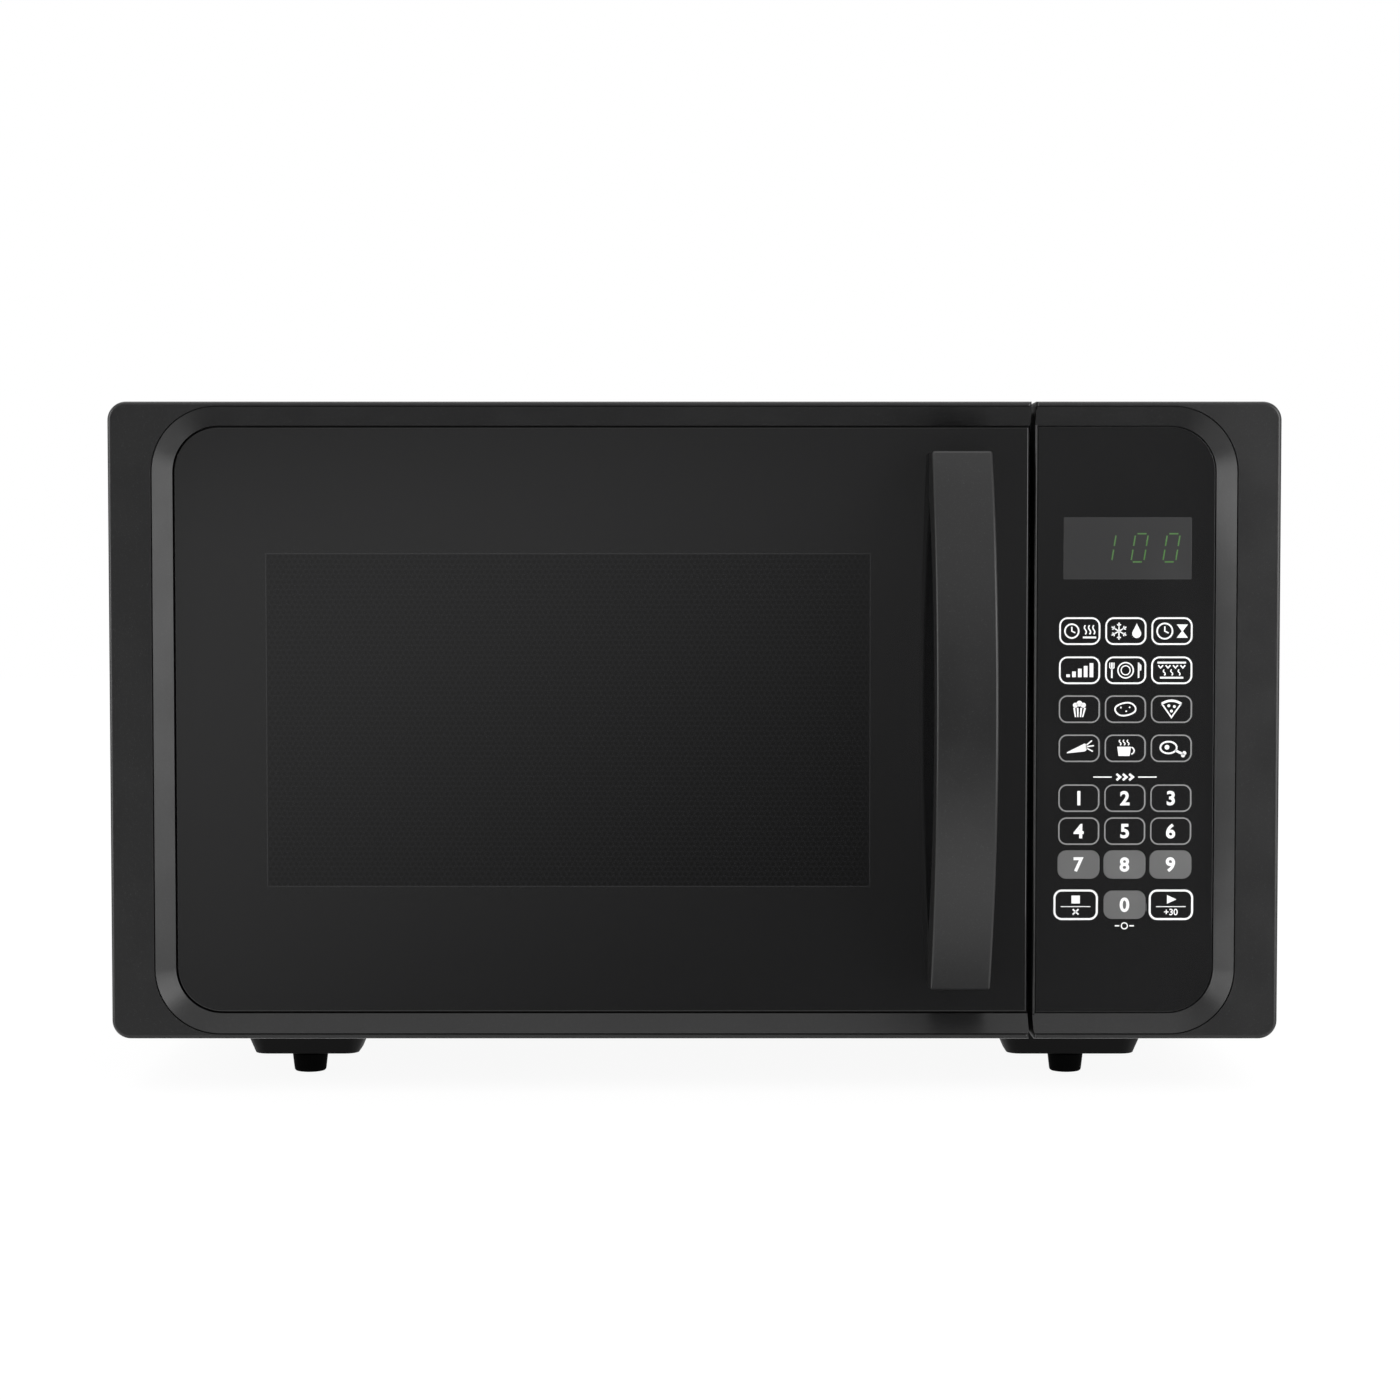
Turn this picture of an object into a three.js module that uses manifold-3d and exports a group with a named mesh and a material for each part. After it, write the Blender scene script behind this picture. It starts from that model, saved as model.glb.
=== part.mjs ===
// A countertop microwave oven: side-hinged door, turntable, grill element and touch keypad.
// Millimetres. +Z is up and the front faces -Y.
// The origin is on the worktop at the middle of the oven's outline.
import * as THREE from "three";
import { mergeVertices } from "three/addons/utils/BufferGeometryUtils.js";
import Module from "manifold-3d";

const wasm = await Module();
wasm.setup();

// -------------------------------------------------------------------------------------- driving dimensions

const WIDTH = 440; // across the door and the control panel
const FRONT_HEIGHT = 240; // of the door and the control panel
const FRONT_BOTTOM = 20; // worktop to the lower edge of the front
const DEPTH = 388; // from the handle to the collar of the rear panel's bush
const COLLAR = 2; // how far that collar stands out of the cabinet
const HANDLE_REACH = 36; // how far the handle stands out of the front's rim
const DOOR_DEPTH = 31;
const DOOR_TO_PLATE = 3; // gap between the closed door and the cavity's front plate
const SHEET = 1; // steel sheet
const GAP = 0.3; // between pieces that lie against each other
const DOOR_RIGHT = 126.3; // the seam runs between the door's right edge
const PANEL_LEFT = 128.1; // and the control panel's left edge
const FRONT_CORNER = 7;

const BEVEL = { width: 7.2, depth: 6 }; // the sloping frame round the glass and the keypad
const FIELD = { x: 196.6, low: 28.9, high: 251.2, corner: 17.5 }; // the glossy field inside it

const CAVITY = { left: -200, right: 106, floor: 38, ceiling: 244, back: 184, corner: 8 };
const CASING = { half: 218.5, low: 21, top: 257.5, corner: 6 };
const TURNTABLE = { x: -47, y: 30, tray: 127.5, track: 98, wheel: 7.2, wheelWidth: 6 };
const HINGE = { x: -214, pin: 2, arm: 4 };
const KEY = { width: 15.9, height: 10.8, depth: 2, corner: 3.4 };
const WINDOW = { left: -161.2, right: 65.8, low: 77.7, high: 202.6 };
const DISPLAY = { left: 139.1, right: 187.4, low: 193.2, high: 216.6 };
const HANDLE = { left: 88.3, right: 110.9, low: 39.7, high: 241.3, thick: 12, foot: 18, end: 14 };
const FAN = { x: 163, y: 160, z: 118, radius: 44 };
const LATCH = { x0: 113, x1: 117, hooks: [80, 200], travel: 4 };
const FEET = [
  ["foot_left", -151.4],
  ["foot_right", 145.9],
];

// Planes from front to back.
const Y_HANDLE = -DEPTH / 2;
const Y_REAR = DEPTH / 2 - COLLAR;
const Y_RIM = Y_HANDLE + HANDLE_REACH;
const Y_LIP = Y_RIM + BEVEL.depth;
const Y_GLASS = Y_LIP + GAP;
const Y_DOOR_BACK = Y_RIM + DOOR_DEPTH;
const Y_PLATE = Y_DOOR_BACK + DOOR_TO_PLATE;
const Y_HINGE = Y_DOOR_BACK - 11;
const Y_FEET = Y_PLATE + 16;
const FRONT_TOP = FRONT_BOTTOM + FRONT_HEIGHT;

// ----------------------------------------------------------------------------------------------- materials

const material = (color, roughness, metalness = 0, opacity = 1) =>
  new THREE.MeshStandardMaterial({ color, roughness, metalness, opacity, transparent: opacity < 1 });
const satinPlastic = material(0x2b2b2b, 0.45);
const glossBlack = material(0x101010, 0.08);
const blackPlastic = material(0x151515, 0.5);
const blackEnamel = material(0x1a1a1a, 0.4);
const rubber = material(0x0c0c0c, 0.85);
const cavityPaint = material(0xb9bab8, 0.4);
const galvanised = material(0xa8abad, 0.4, 0.9);
const brightSteel = material(0xc9cbcc, 0.25, 1);
const mica = material(0xb8a98a, 0.6);
const clearGlass = material(0xdfe8e6, 0.05, 0, 0.35);
const whitePlastic = material(0xe4e2dc, 0.5);
const naturalPlastic = material(0xcfc9bb, 0.5);
const boardGreen = material(0x2f5a35, 0.5);
const keyBlack = material(0x171717, 0.15);
const keyGrey = material(0x777777, 0.3);

// ------------------------------------------------------------------------------------------- solid helpers

// A closed geometry as a solid that can be cut and joined.
function solid(geometry) {
  const g = geometry.index ? geometry.toNonIndexed() : geometry.clone();
  g.deleteAttribute("normal");
  g.deleteAttribute("uv");
  const merged = mergeVertices(g, 1e-4);
  return new wasm.Manifold(
    new wasm.Mesh({
      numProp: 3,
      vertProperties: new Float32Array(merged.attributes.position.array),
      triVerts: new Uint32Array(merged.index.array),
    }),
  );
}

function geometryOf(made) {
  const m = made.getMesh();
  const points = new Float32Array(m.numVert * 3);
  for (let i = 0; i < m.numVert; i++) {
    points.set(m.vertProperties.subarray(i * m.numProp, i * m.numProp + 3), i * 3);
  }
  const g = new THREE.BufferGeometry();
  g.setAttribute("position", new THREE.BufferAttribute(points, 3));
  g.setIndex(new THREE.BufferAttribute(new Uint32Array(m.triVerts), 1));
  g.computeVertexNormals();
  return g;
}

const join = (...geometries) => geometryOf(geometries.map(solid).reduce((a, b) => a.add(b)));
const cut = (geometry, ...cutters) =>
  geometryOf(cutters.map(solid).reduce((a, b) => a.subtract(b), solid(geometry)));
const common = (a, b) => geometryOf(solid(a).intersect(solid(b)));

// ------------------------------------------------------------------------------------------- shape helpers

// A rectangle with round corners, listed anticlockwise from the low left one.
function roundRect(x0, y0, x1, y1, corners = 0) {
  const [a, b, c, d] = Array.isArray(corners) ? corners : [corners, corners, corners, corners];
  const s = new THREE.Shape();
  s.moveTo(x0 + a, y0);
  s.lineTo(x1 - b, y0);
  if (b) s.absarc(x1 - b, y0 + b, b, -Math.PI / 2, 0, false);
  s.lineTo(x1, y1 - c);
  if (c) s.absarc(x1 - c, y1 - c, c, 0, Math.PI / 2, false);
  s.lineTo(x0 + d, y1);
  if (d) s.absarc(x0 + d, y1 - d, d, Math.PI / 2, Math.PI, false);
  s.lineTo(x0, y0 + a);
  if (a) s.absarc(x0 + a, y0 + a, a, Math.PI, 1.5 * Math.PI, false);
  return s;
}

function outline(points) {
  return new THREE.Shape(points.map(([x, y]) => new THREE.Vector2(x, y)));
}

const extrude = (shape, depth, curveSegments) =>
  new THREE.ExtrudeGeometry(shape, { depth, bevelEnabled: false, curveSegments });

// The shape is drawn in X and Z, X and Y, or Y and Z, and runs along the axis in the function's name.
const alongY = (shape, front, back, curveSegments = 3) =>
  extrude(shape, back - front, curveSegments).rotateX(Math.PI / 2).translate(0, back, 0);
const alongZ = (shape, low, high, curveSegments = 3) =>
  extrude(shape, high - low, curveSegments).translate(0, 0, low);
const YZ_TO_X = new THREE.Matrix4().makeBasis(
  new THREE.Vector3(0, 1, 0),
  new THREE.Vector3(0, 0, 1),
  new THREE.Vector3(1, 0, 0),
);
const alongX = (shape, left, right, curveSegments = 3) =>
  extrude(shape, right - left, curveSegments).applyMatrix4(YZ_TO_X).translate(left, 0, 0);

const box = (x0, x1, y0, y1, z0, z1) =>
  new THREE.BoxGeometry(x1 - x0, y1 - y0, z1 - z0).translate((x0 + x1) / 2, (y0 + y1) / 2, (z0 + z1) / 2);
const rodZ = (r, low, high, x = 0, y = 0, sides = 24) =>
  new THREE.CylinderGeometry(r, r, high - low, sides).rotateX(Math.PI / 2).translate(x, y, (low + high) / 2);
const rodY = (r, front, back, x = 0, z = 0, sides = 24) =>
  new THREE.CylinderGeometry(r, r, back - front, sides).translate(x, (front + back) / 2, z);
const rodX = (r, left, right, y = 0, z = 0, sides = 24) =>
  new THREE.CylinderGeometry(r, r, right - left, sides)
    .rotateZ(Math.PI / 2)
    .translate((left + right) / 2, y, z);

// A solid of revolution about Z from [radius, height] points listed so that its faces point out.
const turned = (points, sides = 48) =>
  new THREE.LatheGeometry(points.map(([r, z]) => new THREE.Vector2(r, z)), sides).rotateX(Math.PI / 2);

// Positions of n things spaced evenly about a middle.
const spaced = (n, pitch, middle = 0) =>
  Array.from({ length: n }, (_, i) => middle + (i - (n - 1) / 2) * pitch);

// ----------------------------------------------------------------------------------------------- the front

// What is cleared in front of the glossy field: its outline at the lip, wider by the bevel at the rim.
function bevelCutter() {
  const field = roundRect(-FIELD.x, FIELD.low, FIELD.x, FIELD.high, FIELD.corner);
  return new THREE.ExtrudeGeometry(field, {
    depth: 4,
    curveSegments: 4,
    bevelEnabled: true,
    bevelThickness: BEVEL.depth,
    bevelSize: BEVEL.width,
    bevelSegments: 1,
  })
    .rotateX(Math.PI / 2)
    .translate(0, Y_RIM, 0);
}

const POCKET_DEPTH = 3.5; // from the lip to the ledge that the glass lies on
const GLASS = 3;
const LEDGE = 2.5;
const WALL = 2;
const Y_LEDGE = Y_LIP + POCKET_DEPTH;
const Y_HOLLOW = Y_LEDGE + LEDGE;
const STILE = 14; // the solid hinge side of the door's frame
const HINGE_NOTCH = 5;
const ARM_SWING = 2.4; // room in the notch for the hinge's arm when the door stands wide open
const HINGE_SPOTS = [
  ["hinge_lower", FRONT_BOTTOM + WALL + HINGE_NOTCH / 2, 1],
  ["hinge_upper", FRONT_TOP - WALL - HINGE_NOTCH / 2, -1],
];

function doorFrame() {
  const left = -WIDTH / 2;
  const front = roundRect(left, FRONT_BOTTOM, DOOR_RIGHT, FRONT_TOP, [FRONT_CORNER, 0, 0, FRONT_CORNER]);
  const plan = roundRect(left, Y_RIM, DOOR_RIGHT, Y_DOOR_BACK, [0, 0, 0, 9]);
  const block = common(alongY(front, Y_RIM, Y_DOOR_BACK), alongZ(plan, FRONT_BOTTOM, FRONT_TOP, 4));
  const leftOnly = [FIELD.corner, 0, 0, FIELD.corner];
  const pocket = roundRect(-FIELD.x, FIELD.low, DOOR_RIGHT + 5, FIELD.high, leftOnly);
  const hollow = roundRect(left + STILE, FRONT_BOTTOM + WALL, DOOR_RIGHT - WALL, FRONT_TOP - WALL);
  const through = roundRect(-FIELD.x + 9, FIELD.low + 9, DOOR_RIGHT - 12, FIELD.high - 9, 8);
  const notchFront = Y_HINGE - HINGE.arm - ARM_SWING;
  const halfNotch = HINGE_NOTCH / 2;
  const notches = HINGE_SPOTS.flatMap(([, z, up]) => [
    box(left - 1, left + STILE + 1, notchFront, Y_DOOR_BACK + 1, z - halfNotch, z + halfNotch),
    rodZ(HINGE.pin + GAP, Math.min(z, z + 14 * up), Math.max(z, z + 14 * up), HINGE.x, Y_HINGE, 16),
  ]);
  return cut(
    block,
    bevelCutter(),
    alongY(pocket, Y_LIP - 1, Y_LEDGE, 4),
    alongY(hollow, Y_HOLLOW, Y_DOOR_BACK + 1),
    alongY(through, Y_LEDGE - 1, Y_HOLLOW + 1),
    ...notches,
  );
}

function doorGlass() {
  const inset = 0.6;
  const corner = FIELD.corner - inset;
  const shape = roundRect(-FIELD.x + inset, FIELD.low + inset, DOOR_RIGHT - inset, FIELD.high - inset, [
    corner,
    0,
    0,
    corner,
  ]);
  return alongY(shape, Y_GLASS, Y_GLASS + GLASS, 4);
}

// Side view of the bow: an arc outside, and a tighter arc inside that leaves the finger gap.
function handle() {
  const middle = (HANDLE.low + HANDLE.high) / 2;
  const half = (HANDLE.high - HANDLE.low) / 2;
  const foot = Y_GLASS - GAP;
  const endFront = Y_GLASS - HANDLE.end;
  const rise = endFront - Y_HANDLE;
  const outer = (half * half + rise * rise) / (2 * rise);
  const innerHalf = half - HANDLE.foot;
  const innerRise = foot - (Y_HANDLE + HANDLE.thick);
  const inner = (innerHalf * innerHalf + innerRise * innerRise) / (2 * innerRise);
  const outerAngle = Math.asin(half / outer);
  const innerAngle = Math.asin(innerHalf / inner);
  const side = new THREE.Shape();
  side.moveTo(foot, middle - innerHalf);
  side.lineTo(foot, HANDLE.low);
  side.lineTo(endFront, HANDLE.low);
  side.absarc(Y_HANDLE + outer, middle, outer, Math.PI + outerAngle, Math.PI - outerAngle, true);
  side.lineTo(foot, HANDLE.high);
  side.lineTo(foot, middle + innerHalf);
  const centre = Y_HANDLE + HANDLE.thick + inner;
  side.absarc(centre, middle, inner, Math.PI - innerAngle, Math.PI + innerAngle, false);
  return alongX(side, HANDLE.left, HANDLE.right, 8);
}

const FASCIA = { left: PANEL_LEFT + 1.3, thick: 1.2 };
const Y_BOARD = Y_LIP + 3;
const KEYPAD = { left: 134, right: 191, low: 60, high: 220 }; // the opening behind the fascia

function controlHousing() {
  const right = WIDTH / 2;
  const front = roundRect(PANEL_LEFT, FRONT_BOTTOM, right, FRONT_TOP, [0, FRONT_CORNER, FRONT_CORNER, 0]);
  const lip = FASCIA.left - GAP;
  const field = roundRect(lip, FIELD.low, FIELD.x, FIELD.high, [0, FIELD.corner, FIELD.corner, 0]);
  const inFront = common(bevelCutter(), box(PANEL_LEFT - 5, right, Y_RIM - 20, Y_LIP + 1, 0, 300));
  const hollow = roundRect(PANEL_LEFT + WALL, FRONT_BOTTOM + WALL, right - WALL, FRONT_TOP - WALL, 4);
  const opening = roundRect(KEYPAD.left - 1, KEYPAD.low - 1, KEYPAD.right + 1, KEYPAD.high + 1);
  return cut(
    alongY(front, Y_RIM, Y_PLATE - GAP),
    inFront,
    alongY(field, Y_LIP - 1, Y_LIP + 1.6, 4),
    alongY(hollow, Y_LIP + 4, Y_PLATE + 1),
    alongY(opening, Y_LIP, Y_LIP + 5),
  );
}

// Columns and rows of the keypad, and the keys in reading order.
const COLUMNS = [145.4, 162.8, 180.2];
const FUNCTION_ROWS = [
  [173.9, ["cook_time", "defrost", "clock"]],
  [159.1, ["power", "dinner_plate", "grill"]],
  [144.4, ["popcorn", "potato", "pizza"]],
  [129.6, ["vegetables", "drinks", "meat"]],
];
const DIGIT_ROWS = [
  [110.7, ["1", "2", "3"]],
  [98.2, ["4", "5", "6"]],
  [85.5, ["7", "8", "9"]],
];
const BOTTOM_ROW = [
  ["key_stop", 144.4, 70.2, 17.2, 12],
  ["key_0", 162.9, 70.2, KEY.width, KEY.height],
  ["key_start", 180.5, 70.2, 17.2, 12],
];
const inRows = (rows) =>
  rows.flatMap(([z, names]) => names.map((name, i) => ["key_" + name, COLUMNS[i], z, KEY.width, KEY.height]));
const KEYS = [...inRows(FUNCTION_ROWS), ...inRows(DIGIT_ROWS), ...BOTTOM_ROW];

const keyShape = (w, h, grow = 0) =>
  roundRect(-w / 2 - grow, -h / 2 - grow, w / 2 + grow, h / 2 + grow, KEY.corner + grow);

function keyPad(w, h) {
  return alongY(keyShape(w, h), 0, KEY.depth, 2);
}

function controlFascia() {
  const inset = 0.45;
  const corner = FIELD.corner - inset;
  const shape = roundRect(FASCIA.left, FIELD.low + inset, FIELD.x - inset, FIELD.high - inset, [
    0,
    corner,
    corner,
    0,
  ]);
  for (const [, x, z, w, h] of KEYS) {
    const hole = keyShape(w, h, GAP).getPoints(2);
    shape.holes.push(new THREE.Path(hole.map((p) => new THREE.Vector2(p.x + x, p.y + z))));
  }
  return alongY(shape, Y_GLASS, Y_GLASS + FASCIA.thick, 3);
}

// The board behind the keypad: a dome switch under each key, the display module, and the relays on its back.
function controlBoard() {
  const domes = KEYS.map(([, x, z]) => rodY(3.5, Y_BOARD - 0.15, Y_BOARD + 0.5, x, z, 6));
  const behind = (x, z, halfX, halfZ, depth) =>
    box(x - halfX, x + halfX, Y_BOARD + 1, Y_BOARD + depth, z - halfZ, z + halfZ);
  return join(
    box(KEYPAD.left, KEYPAD.right, Y_BOARD, Y_BOARD + 1.6, KEYPAD.low, KEYPAD.high),
    box(DISPLAY.left + 2, DISPLAY.right - 2, Y_BOARD - 1.2, Y_BOARD + 1, DISPLAY.low + 2, DISPLAY.high - 2),
    ...domes,
    behind(149, 195, 9, 10, 18), // relays
    behind(148, 140, 8, 10, 16),
    behind(174, 164, 10, 14, 20),
    behind(174, 111, 12, 15, 22), // transformer
    rodY(6, Y_BOARD + 1, Y_BOARD + 10, 148, 100, 16), // buffer capacitor
    behind(160, 70, 20, 4, 12), // terminal strip
  );
}

// ----------------------------------------------------------------------------------- the door's inner side

const CHOKE = {
  left: -WIDTH / 2 + STILE + 0.6,
  right: DOOR_RIGHT - WALL - 0.4,
  low: FRONT_BOTTOM + WALL + 0.4,
  high: FRONT_TOP - WALL - 0.4,
};
// The raised steel field round the window.
const INNER_FIELD = { left: -186, right: 92, low: 52, high: 230 };
const Y_INNER = Y_DOOR_BACK - 5; // front of the inner panel's flange

const hookSlot = (z, y0, y1) =>
  box(LATCH.x0 - 2, LATCH.x1 + 4, y0, y1, z - 10, z + 6 + LATCH.travel);

function doorInnerPanel() {
  const flange = roundRect(CHOKE.left + 4, CHOKE.low + 4, LATCH.x0 - 3, CHOKE.high - 4, 4);
  const inset = (by, corner) =>
    roundRect(
      INNER_FIELD.left + by,
      INNER_FIELD.low + by,
      INNER_FIELD.right - by,
      INNER_FIELD.high - by,
      corner,
    );
  const field = inset(0.6, 6);
  const hollow = inset(2, 5);
  return cut(
    join(alongY(flange, Y_INNER, Y_INNER + SHEET), alongY(field, Y_INNER, Y_DOOR_BACK - 0.5)),
    alongY(hollow, Y_INNER - 1, Y_DOOR_BACK - 0.5 - SHEET),
  );
}

function chokeCover() {
  const outer = roundRect(CHOKE.left, CHOKE.low, CHOKE.right, CHOKE.high, 3);
  const inner = roundRect(INNER_FIELD.left, INNER_FIELD.low, INNER_FIELD.right, INNER_FIELD.high, 6.6);
  return cut(
    alongY(outer, Y_INNER + SHEET + GAP, Y_DOOR_BACK),
    alongY(inner, Y_INNER, Y_DOOR_BACK + 1),
    ...LATCH.hooks.map((z) => hookSlot(z, Y_INNER, Y_DOOR_BACK + 1)),
  );
}

function innerWindow() {
  const edge = 8;
  const shape = roundRect(WINDOW.left - edge, WINDOW.low - edge, WINDOW.right + edge, WINDOW.high + edge, 5);
  return alongY(shape, Y_DOOR_BACK - 0.2, Y_DOOR_BACK + 0.6);
}

// A bar in the door with two hooks that drop behind the edges of their slots in the front plate.
function latchHooks() {
  const [low, high] = LATCH.hooks;
  const bar = box(LATCH.x0, LATCH.x1, Y_INNER - 12, Y_INNER - 5, low - 14, high + 14);
  const hook = (z) =>
    alongX(
      outline([
        [Y_INNER - 6, z - 4],
        [Y_PLATE + 8, z - 4],
        [Y_PLATE + 8, z - 8],
        [Y_PLATE + 12, z - 8],
        [Y_PLATE + 20, z + 1],
        [Y_PLATE + 20, z + 4],
        [Y_INNER - 6, z + 4],
      ]),
      LATCH.x0,
      LATCH.x1,
    );
  return join(bar, ...LATCH.hooks.map(hook));
}

// --------------------------------------------------------------------------------------------- the cabinet

// Air slots: size of one, and spacing of the rows and columns.
const SLOT = { length: 16, height: 3, pitch: 7, step: 22 };

function outerCasing() {
  const { half, low, top, corner } = CASING;
  const bend = corner - SHEET;
  const section = roundRect(-half, low, half, top, [0, 0, corner, corner]);
  const inside = roundRect(-half + SHEET, low - 10, half - SHEET, top - SHEET, [0, 0, bend, bend]);
  const slots = (x, middleY, middleZ) =>
    spaced(3, SLOT.step, middleY).flatMap((y) =>
      spaced(6, SLOT.pitch, middleZ).map((z) =>
        box(x - 3, x + 3, y - SLOT.length / 2, y + SLOT.length / 2, z, z + SLOT.height),
      ),
    );
  return cut(
    alongY(section, Y_PLATE + SHEET + GAP, Y_REAR),
    alongY(inside, Y_PLATE, Y_REAR + 1),
    ...slots(half, 130, 120),
    ...slots(-half, 120, 205),
  );
}

// A shallow dish pressed down out of the base plate: flat below, with sloping sides.
function dish(x0, x1, y0, y1, low, high, slope, grow = 0) {
  const s = roundRect(x0 + slope - grow, y0 + slope - grow, x1 - slope + grow, y1 - slope + grow, 5 + grow);
  return new THREE.ExtrudeGeometry(s, {
    depth: 0.01,
    curveSegments: 2,
    bevelEnabled: true,
    bevelThickness: high - low,
    bevelSize: slope,
    bevelSegments: 1,
  }).translate(0, 0, high);
}

const FOOT_TOP = 7.5;
const FRONT_DISH = { y0: Y_PLATE + 3, y1: Y_PLATE + 38, low: FOOT_TOP, slope: 6 };
const REAR_DISH = { y0: Y_REAR - 52, y1: Y_REAR - 12, low: 0, slope: 10 };
const DISHES = [
  { x0: -178.5, x1: -126, ...FRONT_DISH },
  { x0: 116.5, x1: 178.2, ...FRONT_DISH },
  { x0: -176, x1: -136, ...REAR_DISH },
  { x0: 136, x1: 176, ...REAR_DISH },
];

// Sheet steel with four dishes: the front two carry the feet.
// The deeper rear two stand on the worktop themselves.
function basePlate() {
  const high = CASING.low + SHEET;
  const x = CASING.half - SHEET - GAP;
  const plate = box(-x, x, Y_PLATE + 2, Y_REAR - 2, CASING.low, high);
  const slab = (low, top) => box(-WIDTH, WIDTH, -WIDTH, WIDTH, low, top);
  const seam = CASING.low + SHEET / 2; // the dishes overlap the sheet as far as its middle
  const below = DISHES.map(({ x0, x1, y0, y1, low, slope }) =>
    cut(dish(x0, x1, y0, y1, low, seam, slope), slab(low - 40, low), slab(seam, seam + 60)),
  );
  const above = DISHES.map(({ x0, x1, y0, y1, low, slope }) =>
    cut(dish(x0, x1, y0, y1, low + SHEET, high + 0.5, slope, -SHEET), slab(low - 40, low + SHEET)),
  );
  return cut(join(plate, ...below), ...above);
}

function foot() {
  return turned([
    [0, 0],
    [6, 0],
    [6.6, 0.8],
    [7.1, FOOT_TOP - GAP],
    [0, FOOT_TOP - GAP],
  ], 20);
}

const GLAND = { x: 190, z: 46, hole: 7 };

function rearPanel() {
  const x = CASING.half - SHEET - GAP;
  const columns = spaced(6, 15, FAN.x).flatMap((sx) =>
    spaced(9, SLOT.pitch, FAN.z).map((z) => box(sx - 6, sx + 6, Y_REAR - 5, Y_REAR, z, z + SLOT.height)),
  );
  const exhaust = spaced(5, 20, -110).flatMap((sx) =>
    spaced(4, SLOT.pitch, 215).map((z) => box(sx - 8, sx + 8, Y_REAR - 5, Y_REAR, z, z + SLOT.height)),
  );
  const sheet = roundRect(-x, CASING.low + SHEET + GAP, x, CASING.top - SHEET - GAP, [0, 0, 5, 5]);
  return cut(
    alongY(sheet, Y_REAR - 2.2, Y_REAR - 1.2),
    ...columns,
    ...exhaust,
    rodY(GLAND.hole, Y_REAR - 5, Y_REAR + 5, GLAND.x, GLAND.z, 24),
  );
}

// A bush that lines the lead's hole in the rear panel, with a collar on each side of the sheet.
function cordGland() {
  const r = GLAND.hole - GAP;
  return turned([
    [3.6, -6],
    [r + 2.5, -6],
    [r + 2.5, -1.8],
    [r, -1.8],
    [r, 0.2],
    [r + 3.5, 0.2],
    [r + 3.5, 2.4],
    [r + 1.5, 1.2 + COLLAR],
    [3.6, 1.2 + COLLAR],
    [3.6, -6],
  ], 24).rotateX(-Math.PI / 2);
}

function frontPlate() {
  const { left, right, floor, ceiling, corner } = CAVITY;
  const outer = roundRect(-CASING.half + 1, CASING.low + SHEET, DOOR_RIGHT + 0.6, CASING.top - SHEET, 4);
  return cut(
    alongY(outer, Y_PLATE, Y_PLATE + SHEET),
    alongY(roundRect(left, floor, right, ceiling, corner), Y_PLATE - 1, Y_PLATE + SHEET + 1),
    ...LATCH.hooks.map((z) => hookSlot(z, Y_PLATE - 1, Y_PLATE + SHEET + 1)),
  );
}

const PORT = { y0: 20, y1: 66, z0: 158, z1: 192 }; // where the waveguide opens into the cavity
const DUCT = { x1: 128, y0: 12, y1: 108, z0: 152, z1: 198 };
const ANTENNA = { y: 88, z: 175 };
const LAMP = { y: -70, z: 214, deep: 16, half: 14, cap: 6 };

// The welded oven box: its waveguide duct, the lamp's grille on the right, the steam vents on the left.
function cavityShell() {
  const { left, right, floor, ceiling, back, corner } = CAVITY;
  const y0 = Y_PLATE + SHEET + GAP;
  const outer = roundRect(left - SHEET, floor - SHEET, right + SHEET, ceiling + SHEET, corner + SHEET);
  const inner = roundRect(left, floor, right, ceiling, corner);
  const duct = box(right + 0.5, DUCT.x1, DUCT.y0, DUCT.y1, DUCT.z0, DUCT.z1);
  const ductInside = box(
    right + SHEET,
    DUCT.x1 - SHEET,
    DUCT.y0 + SHEET,
    DUCT.y1 - SHEET,
    DUCT.z0 + SHEET,
    DUCT.z1 - SHEET,
  );
  const grille = (x, y, z) =>
    spaced(5, 6, y).flatMap((gy) => spaced(4, 6, z).map((gz) => rodX(1.6, x - 4, x + 4, gy, gz, 6)));
  return cut(
    join(cut(alongY(outer, y0, back + SHEET), alongY(inner, y0 - 1, back)), duct),
    ductInside,
    box(right - 4, right + 4, PORT.y0, PORT.y1, PORT.z0, PORT.z1),
    rodX(12, DUCT.x1 - 4, DUCT.x1 + 4, ANTENNA.y, ANTENNA.z, 24),
    rodX(ELEMENT.r + 0.5, right - 4, right + 4, ELEMENT.y0, ELEMENT.z, 16),
    rodX(ELEMENT.r + 0.5, right - 4, right + 4, ELEMENT.y1, ELEMENT.z, 16),
    rodZ(6, floor - 4, floor + 4, TURNTABLE.x, TURNTABLE.y, 20),
    ...grille(right, LAMP.y, LAMP.z),
    ...grille(left, 120, 214),
  );
}

function waveguideCover() {
  const edge = 7;
  const shape = roundRect(PORT.y0 - edge, PORT.z0 - edge, PORT.y1 + edge, PORT.z1 + edge, 3);
  return alongX(shape, CAVITY.right - 1.1, CAVITY.right - GAP, 2);
}

const ELEMENT = {
  r: 3.4,
  left: -160,
  right: CAVITY.right + 14,
  y0: -26,
  y1: 86,
  z: CAVITY.ceiling - 9,
  bend: 26,
};

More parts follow.
